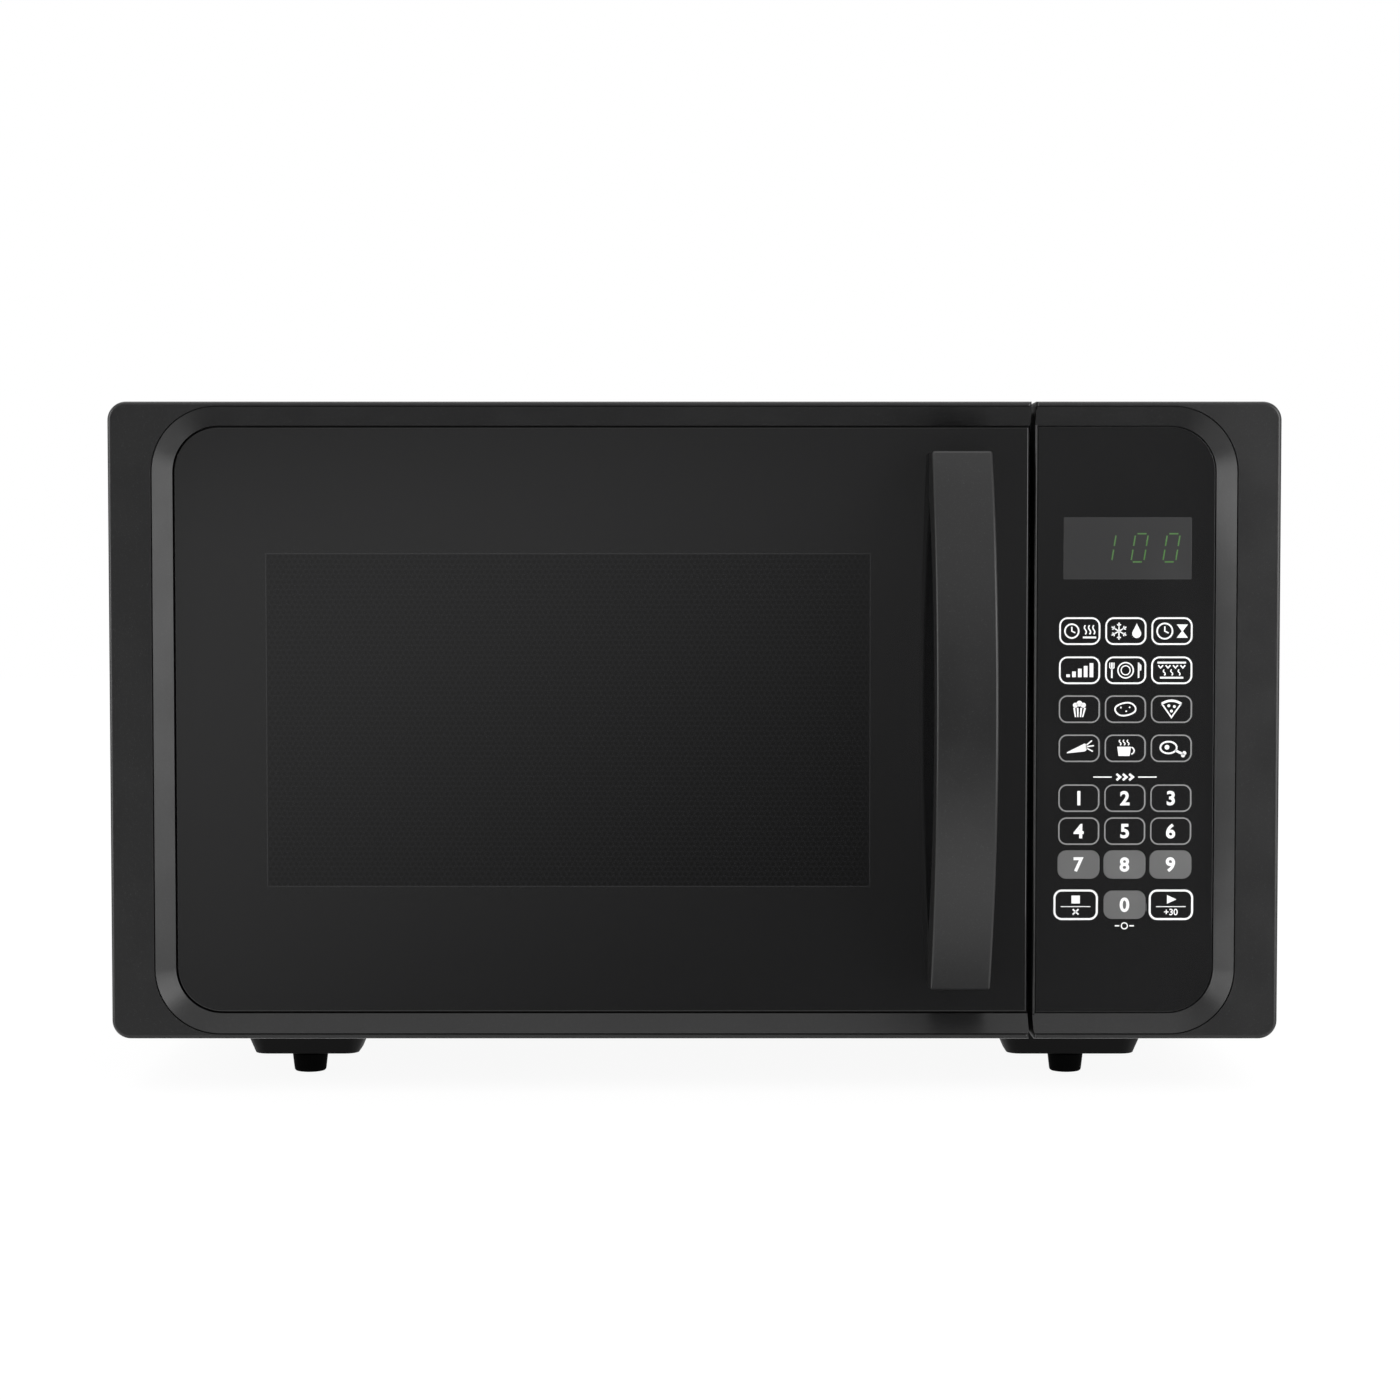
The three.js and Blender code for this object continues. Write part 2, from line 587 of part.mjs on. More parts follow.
// A sheathed heating rod bent to a hairpin under the ceiling.
// Its two ends pass out through the right wall.
function grillElement() {
  const { r, left, right, y0, y1, z, bend } = ELEMENT;
  const point = (x, y) => new THREE.Vector3(x, y, z);
  const line = (a, b) => new THREE.LineCurve3(point(...a), point(...b));
  const corner = (a, b, c) => new THREE.QuadraticBezierCurve3(point(...a), point(...b), point(...c));
  const path = new THREE.CurvePath();
  path.add(line([right, y0], [left + bend, y0]));
  path.add(corner([left + bend, y0], [left, y0], [left, y0 + bend]));
  path.add(line([left, y0 + bend], [left, y1 - bend]));
  path.add(corner([left, y1 - bend], [left, y1], [left + bend, y1]));
  path.add(line([left + bend, y1], [right, y1]));
  const section = new THREE.Shape().absarc(0, 0, r, 0, 2 * Math.PI, false);
  return new THREE.ExtrudeGeometry(section, {
    steps: 44,
    curveSegments: 5,
    bevelEnabled: false,
    extrudePath: path,
  });
}

// ------------------------------------------------------------------------------------------- the machinery

function ovenLamp() {
  const x = CAVITY.right + 6;
  const middle = x + LAMP.deep / 2;
  const bulb = [
    [0, -9],
    [5, -9],
    [8, 0],
    [7, 7],
    [4, 10],
    [0, 11],
  ];
  const socket = { low: LAMP.z - 26, high: LAMP.z - 14 };
  return join(
    box(x, x + LAMP.deep, LAMP.y - LAMP.half, LAMP.y + LAMP.half, socket.low, socket.high),
    rodZ(LAMP.cap, socket.high - 1, LAMP.z - 6, middle, LAMP.y, 16),
    turned(bulb, 16).translate(middle, LAMP.y, LAMP.z),
  );
}

// Half width, half height and length of the yoke, half height of the fins, thickness of its cheeks.
const YOKE = { half: 40, tall: 34, long: 68, fin: 26, sheet: 2 };

// A finned anode in its yoke, with the antenna reaching into the duct and the filter box below.
function magnetron() {
  const x = DUCT.x1 + GAP;
  const { y, z } = ANTENNA;
  const { half, tall, long, fin, sheet } = YOKE;
  const fins = spaced(7, 7, x + long / 2).map((fx) =>
    box(fx - 0.6, fx + 0.6, y - half + 6, y + half - 6, z - fin, z + fin),
  );
  const cheek = (side) => {
    const outer = y + side * (half - 1);
    const inner = y + side * (half - 1 - sheet);
    return box(x + 2, x + long - 2, Math.min(outer, inner), Math.max(outer, inner), z - 28, z + 28);
  };
  return join(
    rodX(7, x - 16, x + 6, y, z, 16), // antenna
    rodX(10.5, x - 3, x + 2, y, z, 20), // its collar in the duct's wall
    box(x, x + 3, y - half, y + half, z - tall, z + tall),
    cheek(-1),
    cheek(1),
    box(x + long - 4, x + long - 1, y - half, y + half, z - tall, z + tall),
    rodX(20, x + 1, x + long - 3, y, z, 18), // anode
    ...fins,
    box(x + 14, x + 54, y - 30, y + 30, z - 44, z - 16), // filter box
  );
}

const TRANSFORMER = { x: 165, y: -44 };

function hvTransformer() {
  const z = CASING.low + SHEET + GAP;
  const { x, y } = TRANSFORMER;
  const around = (halfX, halfY, low, high) => box(x - halfX, x + halfX, y - halfY, y + halfY, low, high);
  return join(
    around(41, 26, z, z + 62), // core
    around(31, 42, z + 12, z + 50), // windings
    around(47, 30, z, z + 2.5), // mounting flange
  );
}

const CAPACITOR = { x0: 122, x1: 205, y: 28, half: 16, tall: 50 };

function hvCapacitor() {
  const z = CASING.low + SHEET + GAP;
  const { x0, x1, y, half, tall } = CAPACITOR;
  const tab = (side) => box(x1 - 1, x1 + 5, y + side * 5.5 - 2.5, y + side * 5.5 + 2.5, z + 15, z + 35);
  return join(alongX(roundRect(y - half, z, y + half, z + tall, half - 1), x0, x1, 2), tab(-1), tab(1));
}

// Half size of the bracket, half height and level of the motor's arms, and how far back it sits.
const FAN_MOUNT = { frame: 52, arm: 4, armUp: 20, back: 12 };

// A shaded-pole motor on a bracket whose round opening guides the air through the fan.
function fanMotor() {
  const { x, y, z, radius } = FAN;
  const { frame, arm, armUp, back } = FAN_MOUNT;
  const sides = [-1, 1];
  const bracket = cut(
    box(x - frame, x + frame, y - 2, y, z - frame, z + frame),
    rodY(radius + 2, y - 5, y + 5, x, z, 32),
  );
  const motor = box(x - 26, x + 26, y + back, y + back + 14, z - 24, z + 24);
  const level = (s) => [z + s * armUp - arm, z + s * armUp + arm];
  const legs = sides.map((s) => box(x - frame, x + frame, y + back, y + back + 3, ...level(s)));
  const posts = sides.flatMap((s) =>
    sides.map((t) => {
      const middle = x + s * (frame - 2);
      return box(middle - 2, middle + 2, y - 1, y + back + 3, ...level(t));
    }),
  );
  return cut(join(bracket, motor, ...legs, ...posts), rodY(3, y - 10, y + back + 10, x, z, 16));
}

// Hub, shaft and five pitched blades, turning about the fan's own axis, which lies along Y.
function fanImpeller() {
  const blades = Array.from({ length: 5 }, (_, i) =>
    new THREE.BoxGeometry(30, 1.6, 20)
      .rotateX(0.6)
      .translate(24, -3, 0)
      .rotateY((i * 2 * Math.PI) / 5),
  );
  return join(rodY(11, -10, 6, 0, 0, 20), rodY(2.5, -8, 20, 0, 0, 16), ...blades);
}

function turntableMotor() {
  const low = CASING.low + SHEET + GAP;
  return cut(
    join(
      rodZ(25, low, low + 13, 0, 0, 28),
      box(-31, 31, -6, 6, low + 11.5, low + 13), // ears
      box(-10, 10, 20, 33, low, low + 9), // terminal block
    ),
    rodZ(4, low + 3, low + 20, 0, 0, 16),
  );
}

// A three-armed driver with its shaft down into the motor.
function driveCoupler() {
  const { floor } = CAVITY;
  const arms = [0, 1, 2].map((i) =>
    box(0, 17, -3.5, 3.5, floor + 2, floor + 10).rotateZ((i * 2 * Math.PI) / 3),
  );
  return join(
    rodZ(8, floor + 1.5, floor + 11, 0, 0, 20),
    rodZ(3.4, floor - 11, floor + 2, 0, 0, 16),
    ...arms,
  );
}

const WHEEL_HEIGHT = CAVITY.floor + 7.5;
const TRAY_LOW = CAVITY.floor + 15;

// A flat hoop with three stub axles pointing outwards.
function rollerRing() {
  const { track, wheelWidth } = TURNTABLE;
  const r = track - 10;
  const hoop = turned([
    [r - 3, -2.5],
    [r + 3, -2.5],
    [r + 3, 2.5],
    [r - 3, 2.5],
    [r - 3, -2.5],
  ], 48);
  const axles = [0, 1, 2].map((i) =>
    rodX(2, r, track + wheelWidth / 2 + 1.5, 0, 0, 12).rotateZ((i * 2 * Math.PI) / 3),
  );
  return join(hoop, ...axles);
}

function rollerWheel() {
  const { wheel, wheelWidth } = TURNTABLE;
  return cut(
    rodX(wheel, -wheelWidth / 2, wheelWidth / 2, 0, 0, 24),
    rodX(2 + GAP, -wheelWidth, wheelWidth, 0, 0, 12),
  );
}

// A glass dish with a turned-up rim, and three lugs below that reach down between the driver's arms.
function glassTray() {
  const r = TURNTABLE.tray;
  const dishOf = turned([
    [0, 0],
    [r - 19, 0],
    [r - 8, 5],
    [r, 13],
    [r - 1, 15],
    [r - 4, 14.5],
    [r - 12, 7.5],
    [r - 22, 4.5],
    [0, 4.5],
  ]);
  const lugs = [0, 1, 2].map((i) => box(10, 16, -4, 4, -8, 1).rotateZ(((i + 0.5) * 2 * Math.PI) / 3));
  return join(dishOf, ...lugs);
}

// An L of plate steel on the front plate, with an arm that reaches into the door's notch and carries the pin.
function hinge(up) {
  const back = Y_PLATE - GAP - Y_HINGE;
  const arm = roundRect(-HINGE.arm, -HINGE.arm, HINGE.arm, back - 0.5, [3.9, 3.9, 0, 0]);
  const flange = [back - 1.2, back];
  const pin = rodZ(HINGE.pin, Math.min(0, 11 * up), Math.max(0, 11 * up), 0, 0, 16);
  const plateLow = Math.min(-1, 18 * up);
  const plateHigh = Math.max(1, 18 * up);
  return join(
    alongZ(arm, -1, 1),
    pin,
    box(-HINGE.arm, 12, ...flange, plateLow, plateHigh),
  );
}

// The frame behind the front plate that the hooks pass into, with its three switches on the outside.
function interlockBracket() {
  const [low, high] = LATCH.hooks;
  const y0 = Y_PLATE + SHEET + GAP;
  const y1 = y0 + 34;
  const x0 = LATCH.x0 - 4;
  const x1 = LATCH.x1 + 7;
  const chambers = LATCH.hooks.map((z) =>
    box(LATCH.x0 - 2.5, LATCH.x1 + 4.5, y0 - 1, y0 + 30, z - 12, z + 14),
  );
  const waist = box(x0 - 1, x1 + 1, y0 + 10, y1 + 1, low + 20, high - 18);
  const microswitch = (front, z) => box(x1 - 0.5, x1 + 10, front, front + 26, z - 8, z + 8);
  return join(
    cut(box(x0, x1, y0, y1, low - 18, high + 22), ...chambers, waist),
    microswitch(y0 + 8, high),
    microswitch(y0 + 8, low),
    microswitch(y0, low + 16.5),
  );
}

// -------------------------------------------------------------------------------------------- the assembly

const oven = new THREE.Group();

function place(group, name, geometry, finish, position = [0, 0, 0]) {
  const mesh = new THREE.Mesh(geometry, finish);
  mesh.name = name;
  mesh.position.set(...position);
  group.add(mesh);
  return mesh;
}

function cabinet() {
  const g = new THREE.Group();
  place(g, "outer_casing", outerCasing(), blackEnamel);
  place(g, "base_plate", basePlate(), galvanised);
  place(g, "rear_panel", rearPanel(), galvanised);
  place(g, "cord_gland", cordGland(), rubber, [GLAND.x, Y_REAR - 1.2, GLAND.z]);
  place(g, "cavity_front_plate", frontPlate(), cavityPaint);
  place(g, "cavity_shell", cavityShell(), cavityPaint);
  place(g, "waveguide_cover", waveguideCover(), mica);
  place(g, "grill_element", grillElement(), brightSteel);
  for (const [name, x] of FEET) place(g, name, foot(), rubber, [x, Y_FEET, 0]);
  for (const [name, z, up] of HINGE_SPOTS) place(g, name, hinge(up), brightSteel, [HINGE.x, Y_HINGE, z]);
  return g;
}

function controlPanel() {
  const g = new THREE.Group();
  place(g, "control_housing", controlHousing(), satinPlastic);
  place(g, "control_fascia", controlFascia(), glossBlack);
  place(g, "control_board", controlBoard(), boardGreen);
  const filled = ["key_7", "key_8", "key_9", "key_0"];
  for (const [name, x, z, w, h] of KEYS) {
    place(g, name, keyPad(w, h), filled.includes(name) ? keyGrey : keyBlack, [x, Y_GLASS, z]);
  }
  return g;
}

function machinery() {
  const g = new THREE.Group();
  place(g, "oven_lamp", ovenLamp(), whitePlastic);
  place(g, "magnetron", magnetron(), galvanised);
  place(g, "hv_transformer", hvTransformer(), galvanised);
  place(g, "hv_capacitor", hvCapacitor(), brightSteel);
  place(g, "fan_motor", fanMotor(), galvanised);
  place(g, "fan_impeller", fanImpeller(), naturalPlastic, [FAN.x, FAN.y, FAN.z]);
  place(g, "interlock_bracket", interlockBracket(), whitePlastic);
  return g;
}

function turntable() {
  const g = new THREE.Group();
  g.position.set(TURNTABLE.x, TURNTABLE.y, 0);
  place(g, "turntable_motor", turntableMotor(), galvanised);
  place(g, "drive_coupler", driveCoupler(), naturalPlastic);
  place(g, "roller_ring", rollerRing(), naturalPlastic, [0, 0, WHEEL_HEIGHT]);
  for (let i = 0; i < 3; i++) {
    const spoke = new THREE.Group();
    spoke.rotation.z = (i * 2 * Math.PI) / 3;
    place(spoke, "roller_wheel_" + (i + 1), rollerWheel(), whitePlastic, [TURNTABLE.track, 0, WHEEL_HEIGHT]);
    g.add(spoke);
  }
  place(g, "glass_turntable", glassTray(), clearGlass, [0, 0, TRAY_LOW]);
  return g;
}

function door() {
  const g = new THREE.Group();
  place(g, "door_frame", doorFrame(), satinPlastic);
  place(g, "door_glass", doorGlass(), glossBlack);
  place(g, "handle", handle(), satinPlastic);
  place(g, "door_inner_panel", doorInnerPanel(), blackEnamel);
  place(g, "choke_cover", chokeCover(), blackPlastic);
  place(g, "inner_window", innerWindow(), clearGlass);
  place(g, "latch_hooks", latchHooks(), naturalPlastic);
  return g;
}

oven.add(cabinet(), controlPanel(), machinery(), turntable(), door());

export default oven;
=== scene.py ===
"""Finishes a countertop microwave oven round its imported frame.

It makes smooth outer parts, a printed keypad and the interior's finishes, and a studio that shows them.
"""

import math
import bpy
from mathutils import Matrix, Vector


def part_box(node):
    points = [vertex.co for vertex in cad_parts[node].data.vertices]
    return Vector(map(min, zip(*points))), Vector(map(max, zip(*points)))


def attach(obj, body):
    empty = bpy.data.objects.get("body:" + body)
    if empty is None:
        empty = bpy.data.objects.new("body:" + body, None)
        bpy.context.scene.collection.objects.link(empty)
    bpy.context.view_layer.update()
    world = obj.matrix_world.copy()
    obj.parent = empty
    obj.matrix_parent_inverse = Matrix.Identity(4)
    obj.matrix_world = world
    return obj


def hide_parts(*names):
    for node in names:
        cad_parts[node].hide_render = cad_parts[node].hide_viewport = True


bl_info = {
    "name": "Countertop Microwave Oven",
    "version": (1, 0, 0),
    "blender": (4, 5, 0),
    "location": "View3D > Sidebar > Oven",
    "description": "Finishes a countertop microwave oven round its packed frame",
    "category": "Object",
}

import bmesh
import bpy
from mathutils import Matrix, Vector

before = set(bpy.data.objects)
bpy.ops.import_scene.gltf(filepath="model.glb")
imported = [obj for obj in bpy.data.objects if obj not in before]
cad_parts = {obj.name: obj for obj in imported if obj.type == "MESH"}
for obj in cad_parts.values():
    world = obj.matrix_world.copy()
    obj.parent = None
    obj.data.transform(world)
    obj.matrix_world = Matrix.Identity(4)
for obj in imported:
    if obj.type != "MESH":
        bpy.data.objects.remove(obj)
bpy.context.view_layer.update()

MM = 0.001
TINY = 0.05 * MM  # stands for a corner that isn't rounded
CLEAR = 1 * MM  # how far a cutter reaches past what it cuts
PRINT = 0.04 * MM  # half the thickness of a printed mark
WHITE = (1, 1, 1, 1)
ARC_STEPS = 16  # segments in a quarter circle
OWN = "finish_"  # sets these materials apart from the frame's

DOOR_LOW, DOOR_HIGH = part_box("door_frame")
GLASS_LOW, GLASS_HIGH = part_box("door_glass")
HOUSING_LOW, HOUSING_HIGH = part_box("control_housing")
FASCIA_LOW, FASCIA_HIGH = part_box("control_fascia")
HANDLE_LOW, HANDLE_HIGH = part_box("handle")
CASING_LOW, CASING_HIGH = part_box("outer_casing")
TRAY_LOW, TRAY_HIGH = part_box("glass_turntable")
REAR_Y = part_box("rear_panel")[1].y
KEY_NAMES = sorted(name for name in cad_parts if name.startswith("key_"))
DISPLAY_BOX = (139.1 * MM, 187.4 * MM, 193.4 * MM, 216.8 * MM)  # left, right, low, high
RIM_Y = DOOR_LOW.y
LIP_Y = GLASS_LOW.y - 0.3 * MM


# -------------------------------------------------------------------------------- sizes and colours


def length(name, description, default):
    return bpy.props.FloatProperty(name=name, description=description, default=default, unit="LENGTH")


def colour(name, description, default):
    return bpy.props.FloatVectorProperty(
        name=name, description=description, default=default, size=3, min=0, max=1, subtype="COLOR"
    )


def factor(name, description, default):
    return bpy.props.FloatProperty(
        name=name, description=description, default=default, min=0, max=1, subtype="FACTOR"
    )


class OvenSizes(bpy.types.PropertyGroup):
    """Sizes that the frame doesn't give."""

    front_corner: length("Front corner", "Corner radius of the front's outline", 7 * MM)
    front_edge: length("Front edge", "Rounding of the front's outer edge", 1.5 * MM)
    bevel_width: length("Bevel width", "Width of the sloping frame, seen from the front", 7.2 * MM)
    field_corner: length("Field corner", "Corner radius of the glossy field", 17.5 * MM)
    field_gap: length("Field gap", "Gap between the glossy field and its frame", 0.45 * MM)
    wall: length("Wall", "Thickness of the moulded walls", 2 * MM)
    handle_edge: length("Handle edge", "Rounding of the handle's long edges", 1.0 * MM)
    handle_thickness: length("Handle thickness", "Thickness of the bowed bar at its middle", 12 * MM)
    handle_foot: length("Handle foot", "Height of each end of the bar where it meets the door", 18 * MM)
    handle_end: length("Handle end", "How far the ends of the bar stand out of the glass", 14 * MM)
    key_corner: length("Key corner", "Corner radius of a key", 3.4 * MM)
    casing_corner: length("Casing corner", "Bend radius of the casing's upper edges", 6 * MM)
    crisp_edge: length("Crisp edge", "Rounding of the moulded frame's inner edges", 0.14 * MM)
    trench_width: length("Trench width", "Width of the fine groove round the bevel", 0.42 * MM)
    trench_depth: length("Trench depth", "Depth of that groove", 0.9 * MM)
    seam_bead: length("Seam bead", "Width of the raised bead beside the door", 0.9 * MM)
    figure_height: length("Figure height", "Size of the figures on the keys", 7.3 * MM)
    figure_weight: length("Figure weight", "How far the figures' strokes are thickened", 0.22 * MM)
    sheet: length("Sheet", "Thickness of the steel sheet", 1 * MM)
    perforation_pitch: length("Perforation pitch", "Spacing of the holes in the door's screen", 2.2 * MM)
    perforation_radius: length("Perforation radius", "Radius of the holes in the door's screen", 0.7 * MM)


class OvenColours(bpy.types.PropertyGroup):
    """Colours and glosses of the finishes."""

    satin: colour("Satin plastic", "Charcoal paint of the frame and handle", (0.0070, 0.0070, 0.0072))
    satin_fleck: colour("Satin fleck", "Fine bright grain in that paint", (0.043, 0.043, 0.044))
    gloss: colour("Gloss black", "Printed black behind the glass", (0.0060, 0.0060, 0.0062))
    # The screen's holes take this colour darkened, as painted shade.
    window: colour("Window", "Dark screen behind the glass", (0.0020, 0.0020, 0.0022))
    display: colour("Display", "Grey display window", (0.031, 0.031, 0.0315))
    # The digits also glow faintly, a painted glow, though the display is not lit.
    digit: colour("Display digit", "Green of the unlit-looking digits", (0.065, 0.16, 0.045))
    print_white: colour("White print", "Key outlines and symbols", (0.86, 0.86, 0.86))
    print_grey: colour("Grey print", "Thin key outlines", (0.24, 0.24, 0.24))
    key_grey: colour("Grey keys", "Filled keys", (0.115, 0.115, 0.115))
    enamel: colour("Enamel", "Black paint of the casing", (0.016, 0.016, 0.0165))
    # Darker than the casing's enamel: dull black paint, and painted shade under the oven.
    underside_and_shade: colour("Underside", "Dull black paint of the base", (0.0035, 0.0035, 0.0036))
    cavity: colour("Cavity", "Pale paint inside the oven", (0.52, 0.53, 0.52))
    satin_roughness: factor("Satin roughness", "Roughness of the satin plastic", 0.36)
    gloss_roughness: factor("Gloss roughness", "Roughness of the glossy field", 0.04)


# ------------------------------------------------------------------------------------- node helpers


class Tree:
    """A node tree with short calls for adding nodes and links."""

    def __init__(self, tree):
        self.tree = tree

    def join(self, place, value):
        """Links a node's output to the place, or gives the place a value of its own."""
        if isinstance(value, bpy.types.NodeSocket):
            self.tree.links.new(value, place)
        else:
            place.default_value = value

    def put(self, node, socket, value):
        self.join(node.inputs[socket], value)

    def add(self, kind, values=None, **settings):
        node = self.tree.nodes.new(kind)
        for name, value in settings.items():
            setattr(node, name, value)
        for socket, value in (values or {}).items():
            self.put(node, socket, value)
        return node

    def math(self, operation, *values):
        return self.add("ShaderNodeMath", dict(enumerate(values)), operation=operation).outputs[0]

    def times(self, first, *others):
        for other in others:
            first = self.math("MULTIPLY", first, other)
        return first

    def plus(self, first, *others):
        for other in others:
            first = self.math("ADD", first, other)
        return first

    def ramp(self, value, low, high, to_low=0.0, to_high=1.0):
        node = self.add("ShaderNodeMapRange", {"Value": value}, interpolation_type="SMOOTHSTEP")
        limits = {"From Min": low, "From Max": high, "To Min": to_low, "To Max": to_high}
        for socket, number in limits.items():
            self.put(node, socket, number)
        return node.outputs["Result"]

    def mix(self, mask, first, second):
        node = self.add("ShaderNodeMix", data_type="RGBA")
        for socket, value in zip(("Factor_Float", "A_Color", "B_Color"), (mask, first, second)):
            self.join(next(s for s in node.inputs if s.identifier == socket), value)
        return next(s for s in node.outputs if s.identifier == "Result_Color")

    def noise(self, vector, scale, detail=2.0, roughness=0.5):
        values = {"Vector": vector, "Scale": scale, "Detail": detail, "Roughness": roughness}
        return self.add("ShaderNodeTexNoise", values).outputs["Fac"]

    def stretch(self, vector, scale):
        return self.add("ShaderNodeMapping", {"Vector": vector, "Scale": scale}).outputs[0]

    def split(self, vector):
        """The vector's X, Y and Z."""
        return self.add("ShaderNodeSeparateXYZ", {"Vector": vector}).outputs


def rgba(value):
    return (*value, 1.0)


def scaled(base, level):
    """A colour made lighter or darker."""
    return rgba([min(1, level * c) for c in base])


def effect(name, inputs, outputs, fill):
    """A shader node group with a Vector and the named numbers going in and numbers coming out."""
    group = bpy.data.node_groups.new(name, "ShaderNodeTree")
    group.interface.new_socket(name="Vector", in_out="INPUT", socket_type="NodeSocketVector")
    for label, default in inputs.items():
        socket = group.interface.new_socket(name=label, in_out="INPUT", socket_type="NodeSocketFloat")
        socket.default_value = default
    for label in outputs:
        group.interface.new_socket(name=label, in_out="OUTPUT", socket_type="NodeSocketFloat")
    tree = Tree(group)
    source = tree.add("NodeGroupInput").outputs
    drain = tree.add("NodeGroupOutput")
    for label, value in fill(tree, source).items():
        tree.put(drain, label, value)
    return group


def fleck_grain(tree, source):
    """Fine flecks of two sizes over a soft mottle, as in a charcoal paint."""
    fine = tree.noise(source["Vector"], source["Scale"], 3.0, 0.65)
    coarse = tree.noise(source["Vector"], tree.times(source["Scale"], 0.35))
    mottle = tree.noise(source["Vector"], tree.times(source["Scale"], 0.02))
    fleck = tree.times(tree.ramp(fine, 0.52, 0.78), tree.ramp(coarse, 0.35, 0.7))
    height = tree.plus(fine, tree.times(coarse, 0.6))
    return {"Fleck": fleck, "Height": height, "Mottle": mottle}


def touch_marks(tree, source):
    """Faint smears and rubbed patches that vary a glossy surface's roughness."""
    stretched = tree.stretch(source["Vector"], (1.0, 1.0, 0.35))
    broad = tree.ramp(tree.noise(source["Vector"], 9.0, 3.0), 0.35, 0.75)
    streak = tree.ramp(tree.noise(stretched, 38.0), 0.4, 0.8)
    smear = tree.times(broad, tree.plus(0.5, streak))
    rough = tree.plus(source["Base"], tree.times(smear, source["Spread"]))
    return {"Roughness": rough, "Smear": smear}


def hex_holes(tree, source):
    """A mask that is 1 in round holes set in a staggered grid on XZ."""
    part = tree.split(source["Vector"])
    root = math.sqrt(3)
    across = tree.math("DIVIDE", part["X"], source["Pitch"])
    up = tree.math("DIVIDE", part["Z"], tree.times(source["Pitch"], root))

    def distance(shift):
        u, v = (tree.math("SUBTRACT", tree.math("FRACT", tree.plus(at, shift)), 0.5) for at in (across, up))
        v = tree.times(v, root)
        return tree.math("SQRT", tree.plus(tree.times(u, u), tree.times(v, v)))

    near = tree.math("MINIMUM", distance(0.0), distance(0.5))
    reach = tree.math("DIVIDE", source["Radius"], source["Pitch"])
    soft = 0.04
    hole = tree.ramp(near, tree.math("SUBTRACT", reach, soft), tree.plus(reach, soft), 1.0, 0.0)
    return {"Hole": hole}


def zinc_spangle(tree, source):
    """Crystals of hot-dip zinc: cells of slightly different grey and roughness."""
    cells = tree.add("ShaderNodeTexVoronoi", {"Vector": source["Vector"], "Scale": source["Scale"]})
    shade = tree.add("ShaderNodeSeparateColor", {"Color": cells.outputs["Color"]}).outputs["Red"]
    streak = tree.noise(source["Vector"], tree.times(source["Scale"], 6.0), 3.0)
    value = tree.plus(tree.times(shade, 0.7), tree.times(streak, 0.3))
    return {"Value": value, "Height": cells.outputs["Distance"]}


def drawn_streaks(tree, source):
    """Long fine lines along X that drawing and rolling leave on metal."""
    along = tree.stretch(source["Vector"], (0.02, 1.0, 1.0))
    return {"Streak": tree.noise(along, source["Scale"], 3.0, 0.6)}


def settled_dust(tree, source):
    """Light dust that gathers on faces that look up."""
    normal = tree.add("ShaderNodeNewGeometry").outputs["Normal"]
    up = tree.split(normal)["Z"]
    patch = tree.ramp(tree.noise(source["Vector"], 45.0, 4.0, 0.65), 0.3, 0.8)
    return {"Dust": tree.times(tree.ramp(up, 0.4, 1.0), source["Amount"], patch)}


EFFECTS = {
    "Fleck Grain": ({"Scale": 2600.0}, ["Fleck", "Height", "Mottle"], fleck_grain),
    "Touch Marks": ({"Base": 0.05, "Spread": 0.05}, ["Roughness", "Smear"], touch_marks),
    "Hex Holes": ({"Pitch": 2.2 * MM, "Radius": 0.7 * MM}, ["Hole"], hex_holes),
    "Zinc Spangle": ({"Scale": 120.0}, ["Value", "Height"], zinc_spangle),
    "Drawn Streaks": ({"Scale": 900.0}, ["Streak"], drawn_streaks),
    "Settled Dust": ({"Amount": 0.1}, ["Dust"], settled_dust),
}


class Finish(Tree):
    """A material with one Principled shader, its place on the piece, and the effects that it uses."""

    def __init__(self, name, **sockets):
        self.material = bpy.data.materials.new(OWN + name)
        self.material.use_nodes = True
        super().__init__(self.material.node_tree)
        self.shader = self.tree.nodes["Principled BSDF"]
        self.place = self.add("ShaderNodeTexCoord").outputs["Object"]
        self.set(**sockets)

    def set(self, **sockets):
        for name, value in sockets.items():
            self.put(self.shader, name.replace("_", " "), value)

    def use(self, effect_name, **values):
        group = bpy.data.node_groups.get(effect_name) or effect(effect_name, *EFFECTS[effect_name])
        node = self.add("ShaderNodeGroup", node_tree=group)
        self.put(node, "Vector", self.place)
        for name, value in values.items():
            self.put(node, name, value)
        return node.outputs

    def bump(self, height, strength, distance=0.1 * MM):
        values = {"Height": height, "Strength": strength, "Distance": distance}
        self.set(Normal=self.add("ShaderNodeBump", values).outputs["Normal"])


# ---------------------------------------------------------------------------------------- materials


def satin_plastic(colours):
    made = Finish("satin_plastic", IOR=1.5)
    grain = made.use("Fleck Grain", Scale=2600.0)
    base = made.mix(grain["Fleck"], rgba(colours.satin), rgba(colours.satin_fleck))
    level = colours.satin_roughness
    made.set(Base_Color=base, Roughness=made.ramp(grain["Mottle"], 0.3, 0.7, level - 0.02, level + 0.03))
    made.bump(grain["Height"], 0.12, 0.03 * MM)
    return made.material


def gloss_material(name, base, colours, spread=0.006):
    made = Finish(name, IOR=1.7)
    marks = made.use("Touch Marks", Base=colours.gloss_roughness, Spread=spread)
    lighter = tuple(min(1.0, c * 1.25 + 0.0006) for c in base)
    made.set(Base_Color=made.mix(marks["Smear"], rgba(base), rgba(lighter)), Roughness=marks["Roughness"])
    return made


